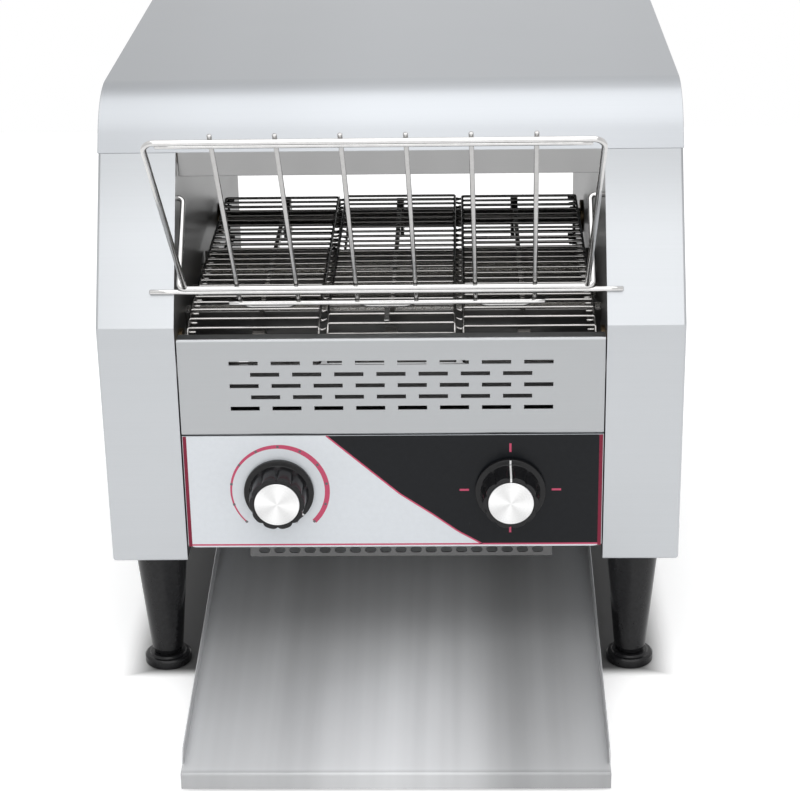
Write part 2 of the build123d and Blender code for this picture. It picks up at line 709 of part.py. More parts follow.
def conveyor_belt():
    """Endless belt of hooked wire strands."""
    stretches = belt_path()
    length = sum(stretch[-1] for stretch in stretches)
    count = round(length / BELT_PITCH)
    pitch = length / count
    line = strand_line(pitch)
    side = BELT_WIRE * math.sqrt(math.pi) / 2
    strands = []
    for index in range(count):
        points = []
        for x, along, lift in line:
            y, z = belt_point(stretches, index * pitch + along, lift)
            points.append((x, y, z))
        strands.append(square_wire(points, side))
    return strands


def belt_clip():
    """Splice clip over two strands of the sloping front of the belt."""
    stretches = belt_path()
    start = stretches[0][-1] + CLIP_SETBACK
    low = WIRE_HALF + SLIP
    high = low + CLIP_HEIGHT
    corners = [(start, low), (start + CLIP_LENGTH, low), (start + CLIP_LENGTH, high), (start, high)]
    outline = polygon([belt_point(stretches, along, lift) for along, lift in corners])
    return across(outline, CLIP_X - CLIP_WIDTH / 2, CLIP_X + CLIP_WIDTH / 2)


def belt_guides():
    """Bars on the lower reflector that hold up the top run of the belt."""
    top = BELT_TOP_Z - WIRE_HALF - SLIP
    front = BELT_BREAK_Y
    rear = DRIVE_Y - GUIDE_REAR_GAP
    return [block(x - GUIDE_WIDTH / 2, x + GUIDE_WIDTH / 2, front, rear, LOWER_TOP, top)
            for x in (-SPROCKET_OFFSET, 0, SPROCKET_OFFSET)]


def toothed_disc(outer, bore, teeth, gullet):
    """Flat disc with round gullets between its teeth."""
    disc = Circle(outer) - Circle(bore)
    return disc - [Rot(0, 0, turn * 360 / teeth) * Pos(outer, 0) * Circle(gullet) for turn in range(teeth)]


def upright_across(x, y, z):
    """Plane across the toaster whose normal points to the right."""
    return Plane(origin=(x, y, z), x_dir=(0, 1, 0), z_dir=(1, 0, 0))


def drive_sprockets():
    """Sprockets that pull the belt, clear of its strands by the slip."""
    outer = DRIVE_WRAP - WIRE_HALF - SLIP
    profile = toothed_disc(outer, DRIVE_SHAFT_RADIUS, SPROCKET_TEETH, SPROCKET_GULLET)
    return [extrude(upright_across(x - SPROCKET_WIDTH / 2, DRIVE_Y, DRIVE_Z) * profile, amount=SPROCKET_WIDTH)
            for x in (-SPROCKET_OFFSET, 0, SPROCKET_OFFSET)]


def idler_rollers():
    """Plain rollers that turn the belt at the front."""
    outer = IDLER_WRAP - WIRE_HALF - SLIP
    return [ring((x - ROLLER_WIDTH / 2, IDLER_Y, IDLER_Z), (x + ROLLER_WIDTH / 2, IDLER_Y, IDLER_Z),
                 outer, IDLER_SHAFT_RADIUS) for x in (-SPROCKET_OFFSET, 0, SPROCKET_OFFSET)]


def shaft_bushes():
    """Flanged bushes of both shafts in the chamber walls."""
    bushes = []
    for y, z, radius in ((DRIVE_Y, DRIVE_Z, DRIVE_SHAFT_RADIUS), (IDLER_Y, IDLER_Z, IDLER_SHAFT_RADIUS)):
        bore = radius + RUNNING_FIT
        outer = radius + BUSH_WALL
        start = CHAMBER_HALF - BUSH_FLANGE_WIDTH
        bush = ring((start, y, z), (start + BUSH_LENGTH, y, z), outer, bore)
        bush += ring((start, y, z), (CHAMBER_HALF, y, z), outer + BUSH_FLANGE, bore)
        bushes += both_sides(bush)
    return bushes


def drive_shaft():
    """Rear shaft, long enough on the right for its chain sprocket."""
    left = -CHAMBER_HALF - BUSH_LENGTH
    return rod((left, DRIVE_Y, DRIVE_Z), (CHAIN_X + CHAIN_WIDTH, DRIVE_Y, DRIVE_Z), DRIVE_SHAFT_RADIUS)


def idler_shaft():
    """Front shaft."""
    half = CHAMBER_HALF + BUSH_LENGTH
    return rod((-half, IDLER_Y, IDLER_Z), (half, IDLER_Y, IDLER_Z), IDLER_SHAFT_RADIUS)


def chain_wheel(y, z, pitch_radius, bore, teeth):
    """Chain sprocket that stays inside the chain."""
    outer = pitch_radius - CHAIN_THICKNESS / 2 - SLIP
    profile = toothed_disc(outer, bore, teeth, TOOTH_DEPTH)
    return extrude(upright_across(CHAIN_X, y, z) * profile, amount=CHAIN_WIDTH)


def drive_chain():
    """Endless chain round both sprockets, as a plain band."""
    axis = Vector(MOTOR_Y - DRIVE_Y, MOTOR_Z - DRIVE_Z)

    def loop(offset):
        big = DRIVEN_PITCH_RADIUS + offset
        small = MOTOR_PITCH_RADIUS + offset
        return make_hull((Circle(big) + Pos(axis.X, axis.Y) * Circle(small)).edges())

    band = loop(CHAIN_THICKNESS / 2) - loop(-CHAIN_THICKNESS / 2)
    return extrude(upright_across(CHAIN_X, DRIVE_Y, DRIVE_Z) * band, amount=CHAIN_WIDTH)


def motor_bracket():
    """Plate on three posts that carries the gear motor off the chamber wall."""
    outline = RectangleRounded(BRACKET_SIZE, BRACKET_SIZE, BRACKET_CORNER) - Circle(BRACKET_BORE)
    bracket = extrude(upright_across(BRACKET_X, MOTOR_Y, MOTOR_Z) * outline, amount=BRACKET_THICKNESS)
    reach = BRACKET_SIZE / 2 - POST_INSET
    places = [(MOTOR_Y + a * reach, MOTOR_Z + b * reach) for a, b in ((1, 1), (1, -1), (-1, -1))]
    posts = [rod((CHAMBER_HALF + SHEET, y, z), (BRACKET_X, y, z), POST_RADIUS) for y, z in places]
    return bracket + posts


def gear_motor():
    """Flat geared motor on its bracket, with a stepped rear cover."""
    start = BRACKET_X + BRACKET_THICKNESS
    end = BODY_HALF - SHEET - SLIP
    step = (start + end) / 2
    body = rod((start, MOTOR_Y, MOTOR_Z), (step, MOTOR_Y, MOTOR_Z), MOTOR_RADIUS)
    body += rod((step, MOTOR_Y, MOTOR_Z), (end, MOTOR_Y, MOTOR_Z), MOTOR_COVER_RADIUS)
    return body - rod((start, MOTOR_Y, MOTOR_Z), (step, MOTOR_Y, MOTOR_Z), MOTOR_SHAFT_RADIUS + RUNNING_FIT)


def motor_spindle():
    """Output shaft of the gear motor."""
    end = BRACKET_X + BRACKET_THICKNESS + MOTOR_SEAT
    return rod((CHAIN_X, MOTOR_Y, MOTOR_Z), (end, MOTOR_Y, MOTOR_Z), MOTOR_SHAFT_RADIUS)


def knob(x):
    """Black knob: flat skirt, fluted tapered grip and a recess for its cap."""
    skirt = extrude(Circle(KNOB_SKIRT_RADIUS), amount=KNOB_SKIRT)
    skirt = chamfer(skirt.edges().group_by(Axis.Z)[-1], KNOB_EDGE)
    grip_height = KNOB_HEIGHT - KNOB_SKIRT
    grip = Pos(0, 0, KNOB_SKIRT) * Solid.make_cone(KNOB_BASE_RADIUS, KNOB_TOP_RADIUS, grip_height)
    flute_place = KNOB_BASE_RADIUS + KNOB_FLUTE_RADIUS - KNOB_FLUTE_DEPTH
    flute = Pos(flute_place, 0, KNOB_SKIRT) * extrude(Circle(KNOB_FLUTE_RADIUS), amount=KNOB_HEIGHT)
    grip -= [Rot(0, 0, turn * 360 / KNOB_FLUTES) * flute for turn in range(KNOB_FLUTES)]
    recess = Pos(0, 0, KNOB_HEIGHT + CAP_DISC_PROUD - CAP_DISC_THICKNESS)
    body = skirt + grip - recess * extrude(Circle(CAP_DISC_RADIUS), amount=OVERRUN)
    body -= extrude(Circle(SPINDLE_RADIUS), amount=SPINDLE_SEAT)
    return facing_front(x, FRONT_RECESS - KNOB_GAP, KNOB_Z) * body


def knob_cap(x):
    """Spun metal disc in the front of a knob."""
    start = KNOB_HEIGHT + CAP_DISC_PROUD - CAP_DISC_THICKNESS
    disc = Pos(0, 0, start) * extrude(Circle(CAP_DISC_RADIUS), amount=CAP_DISC_THICKNESS)
    return facing_front(x, FRONT_RECESS - KNOB_GAP, KNOB_Z) * disc


def knob_spindle(x):
    """Spindle from inside a knob into the control behind the panel."""
    front = FRONT_RECESS - KNOB_GAP - SPINDLE_SEAT
    return rod((x, front, KNOB_Z), (x, CONTROL_FACE + SHEET + SPINDLE_DEPTH, KNOB_Z), SPINDLE_RADIUS)


def control_body(x, outline, length):
    """Body of a control behind the panel, with its collar through the panel and a bore for its spindle."""
    back = CONTROL_FACE + SHEET
    body = extrude(facing_front(x, back + length, KNOB_Z) * outline, amount=length)
    body += rod((x, FRONT_RECESS, KNOB_Z), (x, back, KNOB_Z), COLLAR_RADIUS)
    bore = rod((x, FRONT_RECESS - OVERRUN, KNOB_Z), (x, back + SPINDLE_DEPTH + SLIP, KNOB_Z),
               SPINDLE_RADIUS + RUNNING_FIT)
    return body - bore


def speed_board():
    """Circuit board of the speed control, on posts over the base plate."""
    y = (BASE_FRONT + BOX_DEPTH) / 2
    z = LEG_HEIGHT + SHEET
    board = block(-BOARD_LENGTH / 2, BOARD_LENGTH / 2, y - BOARD_WIDTH / 2, y + BOARD_WIDTH / 2,
                  z + BOARD_RISE, z + BOARD_RISE + BOARD_THICKNESS)
    reach_x = BOARD_LENGTH / 2 - BOARD_POST_INSET
    reach_y = BOARD_WIDTH / 2 - BOARD_POST_INSET
    places = [(a * reach_x, y + b * reach_y) for a, b in ((1, 1), (1, -1), (-1, 1), (-1, -1))]
    return board + [rod((px, py, z), (px, py, z + BOARD_RISE), BOARD_POST_RADIUS) for px, py in places]


def terminal_block():
    """Mains terminals on the outside of the left chamber wall, parted by grooves."""
    start = -CHAMBER_HALF - SHEET
    outer = start - TERMINAL_HEIGHT
    z = LEG_HEIGHT + TERMINAL_RISE
    terminals = block(outer, start, TERMINAL_Y - TERMINAL_LENGTH / 2, TERMINAL_Y + TERMINAL_LENGTH / 2,
                      z - TERMINAL_WIDTH / 2, z + TERMINAL_WIDTH / 2)
    grooves = []
    for offset in centred(TERMINAL_POLES - 1, TERMINAL_LENGTH / TERMINAL_POLES):
        y = TERMINAL_Y + offset
        grooves.append(block(outer - OVERRUN, outer + TERMINAL_GROOVE_DEPTH,
                             y - TERMINAL_GROOVE / 2, y + TERMINAL_GROOVE / 2,
                             z - TERMINAL_WIDTH, z + TERMINAL_WIDTH))
    return terminals - grooves


def rack_point(x, rise, out):
    """Point of the rack: x from its middle, rise up its slant from the pins, out of its wires' plane.

    The rack hangs a little askew, so its middle wanders to the side towards the top.
    """
    out -= PIN_OFFSET
    y = PIN_Y - rise * math.sin(LEAN) - out * math.cos(LEAN)
    z = PIN_HEIGHT + rise * math.cos(LEAN) - out * math.sin(LEAN)
    return x + RACK_SHIFT + RACK_SKEW * rise / RACK_LENGTH, y, z


def rack_frame():
    """Wire frame of the rack: its top bar and its two sides, which spread towards the top."""
    out = (CROSS_WIRE + FRAME_WIRE) / 2
    low = BAR_WIRE + BAR_WIRE / 2
    corners = [(-RACK_HALF, low), (-RACK_TOP_HALF, RACK_LENGTH),
               (RACK_TOP_HALF, RACK_LENGTH), (RACK_HALF, low)]
    return bent_rod([rack_point(x, rise, out) for x, rise in corners], FRAME_WIRE / 2, FRAME_BEND)


def rack_hanger():
    """Bottom bar of the rack, bent back at both ends to the pivots in the chamber walls."""
    end = CHAMBER_HALF + PIVOT_END
    line = []
    for side in (-1, 1):
        corner = rack_point(side * HANGER_X, BAR_WIRE, PIN_OFFSET)
        arm = [(side * end, PIVOT_Y, PIVOT_HEIGHT), (corner[0], PIVOT_Y, PIVOT_HEIGHT), corner]
        line += arm[::-side]
    return bent_rod(line, BAR_WIRE / 2, BAR_BEND)


def rack_pin_rod():
    """Straight rod whose ends rest on the slanted fronts of the side boxes."""
    return rod(rack_point(-PIN_HALF, 0, PIN_OFFSET), rack_point(PIN_HALF, 0, PIN_OFFSET), BAR_WIRE / 2)


def rack_top_rod():
    """Second rod under the top bar."""
    out = (CROSS_WIRE + TOP_ROD_WIRE) / 2
    rise = RACK_LENGTH - (FRAME_WIRE + TOP_ROD_WIRE) / 2
    return rod(rack_point(-TOP_ROD_HALF, rise, out), rack_point(TOP_ROD_HALF, rise, out), TOP_ROD_WIRE / 2)


def rack_front_rod():
    """Short rod in front of the lower ends of the hairpins."""
    ends = [rack_point(x, -FRONT_ROD_DROP, CROSS_WIRE) for x in (-FRONT_ROD_HALF, FRONT_ROD_HALF)]
    return rod(*ends, CROSS_WIRE / 2)


def rack_hairpins():
    """Cross wires in pairs, joined at their lower ends."""
    tip = RACK_LENGTH + FRAME_WIRE / 2 + CROSS_TIP
    pins = []
    for x in centred(CROSS_PAIRS, 2 * CROSS_PITCH):
        left = x - CROSS_PITCH / 2
        right = x + CROSS_PITCH / 2
        corners = [(left, tip), (left, -HAIRPIN_DROP), (right, -HAIRPIN_DROP), (right, tip)]
        line = [rack_point(place, rise, 0) for place, rise in corners]
        pins.append(bent_rod(line, CROSS_WIRE / 2, HAIRPIN_BEND))
    return pins


def slide_tray():
    """Long sloping tray from the back of the toaster to its front lip, with low side walls."""
    front = -TRAY_REACH
    line = [(TRAY_REAR, tray_z(TRAY_REAR)), (front, TRAY_FRONT_HEIGHT), (front, TRAY_LIP_BOTTOM)]
    floor = across(fold(line), -TRAY_HALF, TRAY_HALF)
    start = front + TRAY_WALL_SETBACK
    wall = polygon([(start, tray_z(start)), (start, tray_z(start) + TRAY_WALL),
                    (TRAY_REAR, tray_z(TRAY_REAR) + TRAY_WALL), (TRAY_REAR, tray_z(TRAY_REAR))])
    corner = wall.vertices().group_by(Axis.X)[0].sort_by(Axis.Y)[-1]
    wall = across(fillet(corner, TRAY_WALL_ROUND), TRAY_HALF - SHEET, TRAY_HALF)
    return Pos(TRAY_SHIFT, 0, 0) * (floor + both_sides(wall))


def tray_ledge():
    """Right ledge under the side box that carries the back of the tray."""
    front = BODY_DEPTH - LEDGE_FRONT_GAP
    rear = BODY_DEPTH - LEDGE_REAR_GAP
    top = -SHEET * math.hypot(1, TRAY_RISE) - SLIP
    outer = CHAMBER_HALF + LEDGE_SHEET
    foot = polygon([(front, tray_z(front) + top), (rear, tray_z(rear) + top),
                    (rear, tray_z(rear) + top - LEDGE_SHEET), (front, tray_z(front) + top - LEDGE_SHEET)])
    web = polygon([(front, tray_z(front) + top - LEDGE_SHEET), (front, LEG_HEIGHT), (rear, LEG_HEIGHT),
                   (rear, tray_z(rear) + top - LEDGE_SHEET)])
    ledge = across(foot, CHAMBER_HALF - LEDGE_WIDTH, outer) + across(web, CHAMBER_HALF, outer)
    flange_end = CHAMBER_HALF + LEDGE_FLANGE
    return ledge + block(CHAMBER_HALF, flange_end, front, rear, LEG_HEIGHT - LEDGE_SHEET, LEG_HEIGHT)


def leg(side, y):
    """Tapered leg with a bore for the stem of its foot."""
    height = LEG_HEIGHT - LEG_BASE_HEIGHT
    body = Solid.make_cone(LEG_FOOT_RADIUS, LEG_TOP_RADIUS, height)
    body -= extrude(Circle(LEG_BORE + SLIP), amount=FOOT_STEM + SLIP)
    return Pos(side * (BODY_HALF - LEG_INSET_X), y, LEG_BASE_HEIGHT) * body


def foot(side, y):
    """Round foot pad with a collar and a stem that screws into the leg."""
    pad = extrude(Circle(FOOT_RADIUS), amount=FOOT_PAD)
    pad = chamfer(pad.edges().group_by(Axis.Z)[-1], FOOT_EDGE)
    pad += extrude(Circle(FOOT_COLLAR_RADIUS), amount=LEG_BASE_HEIGHT)
    pad += extrude(Circle(LEG_BORE), amount=LEG_BASE_HEIGHT + FOOT_STEM)
    return Pos(side * (BODY_HALF - LEG_INSET_X), y, 0) * pad


def write(name, *solids):
    """Save one node, shifted to the common origin."""
    shape = Compound([body for solid in solids for body in solid.solids()])
    export_step(Pos(0, -ORIGIN_DEPTH, 0) * shape, os.path.join("parts", name + ".step"))


def main():
    os.makedirs("parts", exist_ok=True)
    right_panel = side_panel()
    right_wall = inner_wall()
    right_ledge = tray_ledge()
    write("top_cover", top_cover())
    write("right_side_panel", right_panel)
    write("left_side_panel", mirror(right_panel, Plane.YZ) - gland_hole())
    write("right_inner_wall", right_wall)
    write("left_inner_wall", mirror(right_wall, Plane.YZ))
    write("rear_panel", rear_panel())
    write("toast_deflector", toast_deflector())
    write("front_vent_panel", vent_panel())
    write("control_panel", control_panel())
    write("control_label", control_label())
    write("control_box", control_box())
    write("base_plate", base_plate())
    write("cable_gland", cable_gland())
    write("upper_reflector", upper_reflector())
    write("lower_reflector", lower_reflector())
    write("upper_heating_tubes", *heater_tubes(upper_tube_places(), UPPER_TUBE_Z))
    write("lower_heating_tubes", *heater_tubes(lower_tube_places(), LOWER_TUBE_Z))
    write("upper_heater_caps", *heater_caps(upper_tube_places(), UPPER_TUBE_Z))
    write("lower_heater_caps", *heater_caps(lower_tube_places(), LOWER_TUBE_Z))
    write("conveyor_belt", *conveyor_belt())
    write("belt_clip", belt_clip())
    write("belt_guides", *belt_guides())
    write("shaft_bushes", *shaft_bushes())
    write("drive_shaft", drive_shaft())
    write("drive_sprockets", *drive_sprockets())
    driven = chain_wheel(DRIVE_Y, DRIVE_Z, DRIVEN_PITCH_RADIUS, DRIVE_SHAFT_RADIUS, DRIVEN_TEETH)
    write("driven_chain_wheel", driven)
    write("idler_shaft", idler_shaft())
    write("idler_rollers", *idler_rollers())
    write("gear_motor", gear_motor())
    write("motor_bracket", motor_bracket())
    write("motor_spindle", motor_spindle())
    driver = chain_wheel(MOTOR_Y, MOTOR_Z, MOTOR_PITCH_RADIUS, MOTOR_SHAFT_RADIUS, MOTOR_TEETH)
    write("motor_chain_wheel", driver)
    write("drive_chain", drive_chain())
    write("speed_knob", knob(SPEED_X))
    write("speed_knob_cap", knob_cap(SPEED_X))
    write("speed_spindle", knob_spindle(SPEED_X))
    write("speed_regulator", control_body(SPEED_X, Circle(REGULATOR_RADIUS), REGULATOR_LENGTH))
    write("selector_knob", knob(SELECTOR_X))
    write("selector_knob_cap", knob_cap(SELECTOR_X))
    write("selector_spindle", knob_spindle(SELECTOR_X))
    switch = RectangleRounded(SWITCH_SIZE, SWITCH_SIZE, SWITCH_CORNER)
    write("selector_switch", control_body(SELECTOR_X, switch, SWITCH_LENGTH))
    write("speed_board", speed_board())
    write("terminal_block", terminal_block())
    write("rack_frame", rack_frame())
    write("rack_hanger", rack_hanger())
    write("rack_pin_rod", rack_pin_rod())
    write("rack_top_rod", rack_top_rod())
    write("rack_front_rod", rack_front_rod())
    write("rack_hairpins", *rack_hairpins())
    write("slide_tray", slide_tray())
    write("right_tray_ledge", right_ledge)
    write("left_tray_ledge", mirror(right_ledge, Plane.YZ))
    for place, (side, y) in LEG_PLACES.items():
        write(place + "_leg", leg(side, y))
        write(place + "_foot", foot(side, y))


main()
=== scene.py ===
import json
import math

import bmesh
import bpy
import numpy as np
from bpy.props import FloatProperty, FloatVectorProperty, IntProperty, PointerProperty
from mathutils import Matrix, Vector


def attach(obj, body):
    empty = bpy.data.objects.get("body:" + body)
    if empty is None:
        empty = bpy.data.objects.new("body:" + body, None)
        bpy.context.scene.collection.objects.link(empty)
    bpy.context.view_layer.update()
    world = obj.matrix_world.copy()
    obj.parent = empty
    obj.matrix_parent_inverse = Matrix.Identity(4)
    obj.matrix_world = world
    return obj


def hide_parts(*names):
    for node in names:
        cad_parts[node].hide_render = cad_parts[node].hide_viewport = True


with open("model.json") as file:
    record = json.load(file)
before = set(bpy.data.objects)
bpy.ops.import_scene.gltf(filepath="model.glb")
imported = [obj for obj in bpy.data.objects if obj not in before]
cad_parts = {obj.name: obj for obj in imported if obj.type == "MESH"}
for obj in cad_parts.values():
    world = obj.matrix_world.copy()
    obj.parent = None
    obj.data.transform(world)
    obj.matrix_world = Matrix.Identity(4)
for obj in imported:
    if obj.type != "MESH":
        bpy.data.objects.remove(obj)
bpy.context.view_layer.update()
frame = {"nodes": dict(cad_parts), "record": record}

bl_info = {
    "name": "Conveyor toaster",
    "version": (1, 0, 0),
    "blender": (4, 5, 0),
    "location": "View3D > Sidebar > Toaster",
    "description": "Dresses the solids of a countertop conveyor toaster with wires, sheet steel, print "
                   "and plastic",
    "category": "Object",
}

# Depth of the front nose in the common frame, one whole turn, and what the record says of each node
NOSE = -0.1515
TURN = 2 * math.pi
BODIES = {node: body for body, nodes in frame["record"]["behaviour"]["bodies"].items() for node in nodes}


# Sizes and colours that a user would change

class SteelSettings(bpy.types.PropertyGroup):
    """Sheet steel of the body, hood and tray."""
    hood: FloatVectorProperty(
        name="Hood", description="Tone of the hood", subtype="COLOR", default=(0.395, 0.41, 0.43))
    panel: FloatVectorProperty(
        name="Panels", description="Tone of the side boxes and front panels", subtype="COLOR",
        default=(0.452, 0.467, 0.484))
    # Painted shade: the pierced front panel gets a darker tone than the other panels for the rack's shadow
    # over it
    vent: FloatVectorProperty(
        name="Vent panel", description="Tone of the pierced front panel", subtype="COLOR",
        default=(0.375, 0.385, 0.395))
    tray: FloatVectorProperty(
        name="Tray", description="Tone of the tray", subtype="COLOR", default=(0.84, 0.85, 0.865))
    inside: FloatVectorProperty(
        name="Inside", description="Tone of the sheet inside the chamber", subtype="COLOR",
        default=(0.23, 0.23, 0.23))
    under: FloatVectorProperty(
        name="Underside", description="Tone of the sheet over the tray", subtype="COLOR",
        default=(0.36, 0.36, 0.365))
    edge: FloatProperty(
        name="Edge", description="Rounding of cut sheet edges", unit="LENGTH", default=0.0004)


class BeltSettings(bpy.types.PropertyGroup):
    """Hooked wire belt."""
    wire: FloatProperty(name="Wire", description="Radius of a strand", unit="LENGTH", default=0.0009)
    pitch: FloatProperty(
        name="Pitch", description="Distance from strand to strand", unit="LENGTH", default=0.0105)
    half: FloatProperty(
        name="Half width", description="Half of the belt's width", unit="LENGTH", default=0.1291)
    hook: FloatProperty(
        name="Hook", description="How far a hook dips under the next strand", unit="LENGTH", default=0.002)
    bend: FloatProperty(name="Bend", description="Bend radius of the wire", unit="LENGTH", default=0.0016)
    tone: FloatVectorProperty(
        name="Belt", description="Tone of the belt wire", subtype="COLOR", default=(0.42, 0.41, 0.40))


class RackSettings(bpy.types.PropertyGroup):
    """Polished loading rack."""
    sides: IntProperty(name="Sides", description="Sides of a round wire", default=20, min=8)
    tone: FloatVectorProperty(
        name="Rack", description="Tone of the rack wire", subtype="COLOR", default=(0.56, 0.555, 0.55))
    # Painted shade: the hairpins are the rack's wire with a darker tone
    wires: FloatVectorProperty(
        name="Hairpins", description="Tone of the bent wires across the rack", subtype="COLOR",
        default=(0.42, 0.416, 0.412))


class ControlSettings(bpy.types.PropertyGroup):
    """Printed label, knobs and legs."""
    white: FloatVectorProperty(
        name="White", description="Pale part of the label", subtype="COLOR", default=(0.70, 0.73, 0.765))
    black: FloatVectorProperty(
        name="Black", description="Dark part of the label", subtype="COLOR", default=(0.008, 0.009, 0.011))
    red: FloatVectorProperty(
        name="Red", description="Lines of the label", subtype="COLOR", default=(0.56, 0.075, 0.15))
    # The side borders are red print, darkened to maroon as painted shade of the gap beside the pillars
    maroon: FloatVectorProperty(
        name="Maroon", description="Side borders of the label", subtype="COLOR", default=(0.22, 0.014, 0.04))
    plastic: FloatVectorProperty(
        name="Plastic", description="Knobs, legs and feet", subtype="COLOR", default=(0.010, 0.010, 0.011))
    dial: FloatProperty(
        name="Dial", description="Radius of the speed dial's arc", unit="LENGTH", default=0.031)
    flutes: IntProperty(name="Flutes", description="Flutes round a knob's grip", default=10, min=3)


class StageSettings(bpy.types.PropertyGroup):
    """Camera, light and floor."""
    lens: FloatProperty(name="Lens", description="Focal length of the camera in millimetres", default=96.92)
    daylight: FloatProperty(name="Daylight", description="Strength of the even light", default=0.52)
    front: FloatProperty(name="Front", description="Power of the broad front lamp in watts", default=13.0)
    upper: FloatProperty(name="Upper", description="Power of the broad lamp overhead in watts", default=22.0)
    side: FloatProperty(name="Side", description="Power of the lamp from the left in watts", default=2.0)
    rear: FloatProperty(name="Rear", description="Power of the lamp from behind in watts", default=1.5)
    floor: FloatProperty(name="Floor", description="Width of the floor", unit="LENGTH", default=2.4)
    glow: FloatProperty(name="Glow", description="Light that lifts the seen floor to white", default=0.36)
    # Painted shadow: tone of the floor under the body
    shade: FloatProperty(name="Shade", description="Tone of the floor under the body", default=0.12)


class ToasterSettings(bpy.types.PropertyGroup):
    """All settings of the toaster."""
    steel: PointerProperty(type=SteelSettings)
    belt: PointerProperty(type=BeltSettings)
    rack: PointerProperty(type=RackSettings)
    control: PointerProperty(type=ControlSettings)
    stage: PointerProperty(type=StageSettings)


# Surfaces

# Chamfer of a wire's ends: how far they stand out and how thin they are, as shares of its radius
END_REACH = 0.3
END_GIRTH = 0.7
# Dressed solids: steps per metre that merge doubled corners, the turn of flat facets, and of sharp edges
MERGE_GRID = 1e6
FLAT_TURN = math.radians(0.6)
CREASE = 35.0


def grid_faces(rows, columns, closed):
    """Quads of a grid of rows by columns; closed joins the last column to the first."""
    row = np.arange(rows - 1)[:, None] * columns
    column = np.arange(columns if closed else columns - 1)[None, :]
    ahead = (column + 1) % columns
    corners = [row + column, row + ahead, row + columns + ahead, row + columns + column]
    return np.stack(np.broadcast_arrays(*corners), axis=-1).reshape(-1, 4)


def capped_faces(rows, columns):
    """Faces of a closed grid of rings, with one face over its first and its last ring."""
    ring = np.arange(columns)
    ends = [ring[::-1].tolist(), (ring + (rows - 1) * columns).tolist()]
    return grid_faces(rows, columns, True).tolist() + ends


def make_piece(name, shape, body, material, node=None, sharp=40.0):
    """Piece at the origin from places and faces, smooth up to an angle, on a body, in place of a node."""
    vertices, faces = shape
    mesh = bpy.data.meshes.new(name)
    mesh.from_pydata(np.asarray(vertices, float).reshape(-1, 3), [], [list(face) for face in faces])
    mesh.validate()
    mesh.shade_smooth()
    mesh.set_sharp_from_angle(angle=math.radians(sharp))
    piece = bpy.data.objects.new(name, mesh)
    bpy.context.scene.collection.objects.link(piece)
    mesh.materials.append(material)
    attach(piece, body)
    if node:
        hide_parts(node)
    return piece


def unit(vectors):
    """Vectors divided by their lengths."""
    return vectors / np.maximum(np.linalg.norm(vectors, axis=-1, keepdims=True), 1e-12)


def rounded_path(points, radius, steps=6):
    """Open line of points whose corners are arcs.

    At a corner with turn a the arc starts radius * tan(a / 2) before it. Its places are
    centre - radius * (cos t * inward - sin t * forward) with t running over the turn.
    """
    points = np.asarray(points, float)
    before = unit(points[1:-1] - points[:-2])
    after = unit(points[2:] - points[1:-1])
    turn = np.arccos(np.clip((before * after).sum(-1), -1, 1))
    setback = radius * np.tan(turn / 2)
    start = points[1:-1] - before * setback[:, None]
    inward = unit(after - before * (before * after).sum(-1, keepdims=True))
    centre = start + inward * radius
    angle = turn[:, None] * np.linspace(0, 1, steps)[None, :]
    arc = (centre[:, None] - radius * np.cos(angle)[..., None] * inward[:, None]
           + radius * np.sin(angle)[..., None] * before[:, None])
    return np.concatenate([points[:1], arc.reshape(-1, 3), points[-1:]])


def tubes(paths, radius, lean, sides):
    """Round wires along an array of paths of equal length, with chamfered closed ends.

    Each place carries a circle in the plane across its path: place + radius * (cos v * side + sin v * up),
    where side is across the path and the lean direction, which no path runs along.
    """
    paths = np.asarray(paths, float)
    along = unit(np.gradient(paths, axis=1))
    reach = radius * END_REACH
    ends = (paths[:, :1] - along[:, :1] * reach, paths[:, -1:] + along[:, -1:] * reach)
    paths = np.concatenate([ends[0], paths, ends[1]], axis=1)
    along = np.concatenate([along[:, :1], along, along[:, -1:]], axis=1)
    side = unit(np.cross(along, np.broadcast_to(lean, along.shape)))
    up = np.cross(side, along)
    girth = np.full(paths.shape[1], radius)
    girth[[0, -1]] *= END_GIRTH
    turn = np.linspace(0, TURN, sides, endpoint=False)
    circle = (np.cos(turn)[:, None] * side[:, :, None] + np.sin(turn)[:, None] * up[:, :, None])
    places = paths[:, :, None] + circle * girth[None, :, None, None]
    quads = grid_faces(paths.shape[1], sides, True)[:, ::-1]
    ring = np.arange(sides)
    size = paths.shape[1] * sides
    faces = []
    for index in range(len(paths)):
        faces += (quads + index * size).tolist()
        faces.append((ring + index * size).tolist())
        faces.append((ring[::-1] + index * size + size - sides).tolist())
    return places.reshape(-1, 3), faces


def revolved(profile, centre, axes, segments):
    """Closed surface of a profile of radii and heights turned round an axis.

    The place at turn v is centre + radius * (cos v * first + sin v * second) + height * third.
    """
    profile = np.asarray(profile, float)
    turn = np.linspace(0, TURN, segments, endpoint=False)
    first, second, third = np.asarray(axes, float)
    ring = np.cos(turn)[:, None] * first + np.sin(turn)[:, None] * second
    places = np.asarray(centre) + profile[:, 0, None, None] * ring + profile[:, 1, None, None] * third
    return places.reshape(-1, 3), capped_faces(len(profile), segments)


def softened(profile, radius, steps=4):
    """Profile of radii and heights whose corners are arcs."""
    flat = np.pad(np.asarray(profile, float), ((0, 0), (0, 1)))
    return rounded_path(flat, radius, steps)[:, :2]


def ribbon(path, widths, depth):
    """Flat printed strip on the front: a line of x and z with a width at each place, at one depth."""
    path = np.asarray(path, float)
    step = unit(np.gradient(path, axis=0))
    side = np.stack([-step[:, 1], step[:, 0]], axis=-1) * (np.broadcast_to(widths, len(path)) / 2)[:, None]
    edges = np.stack([path + side, path - side], axis=1)
    places = np.stack([edges[..., 0], np.full(edges.shape[:2], depth), edges[..., 1]], axis=-1)
    return places.reshape(-1, 3), grid_faces(len(path), 2, False)[:, ::-1].tolist()


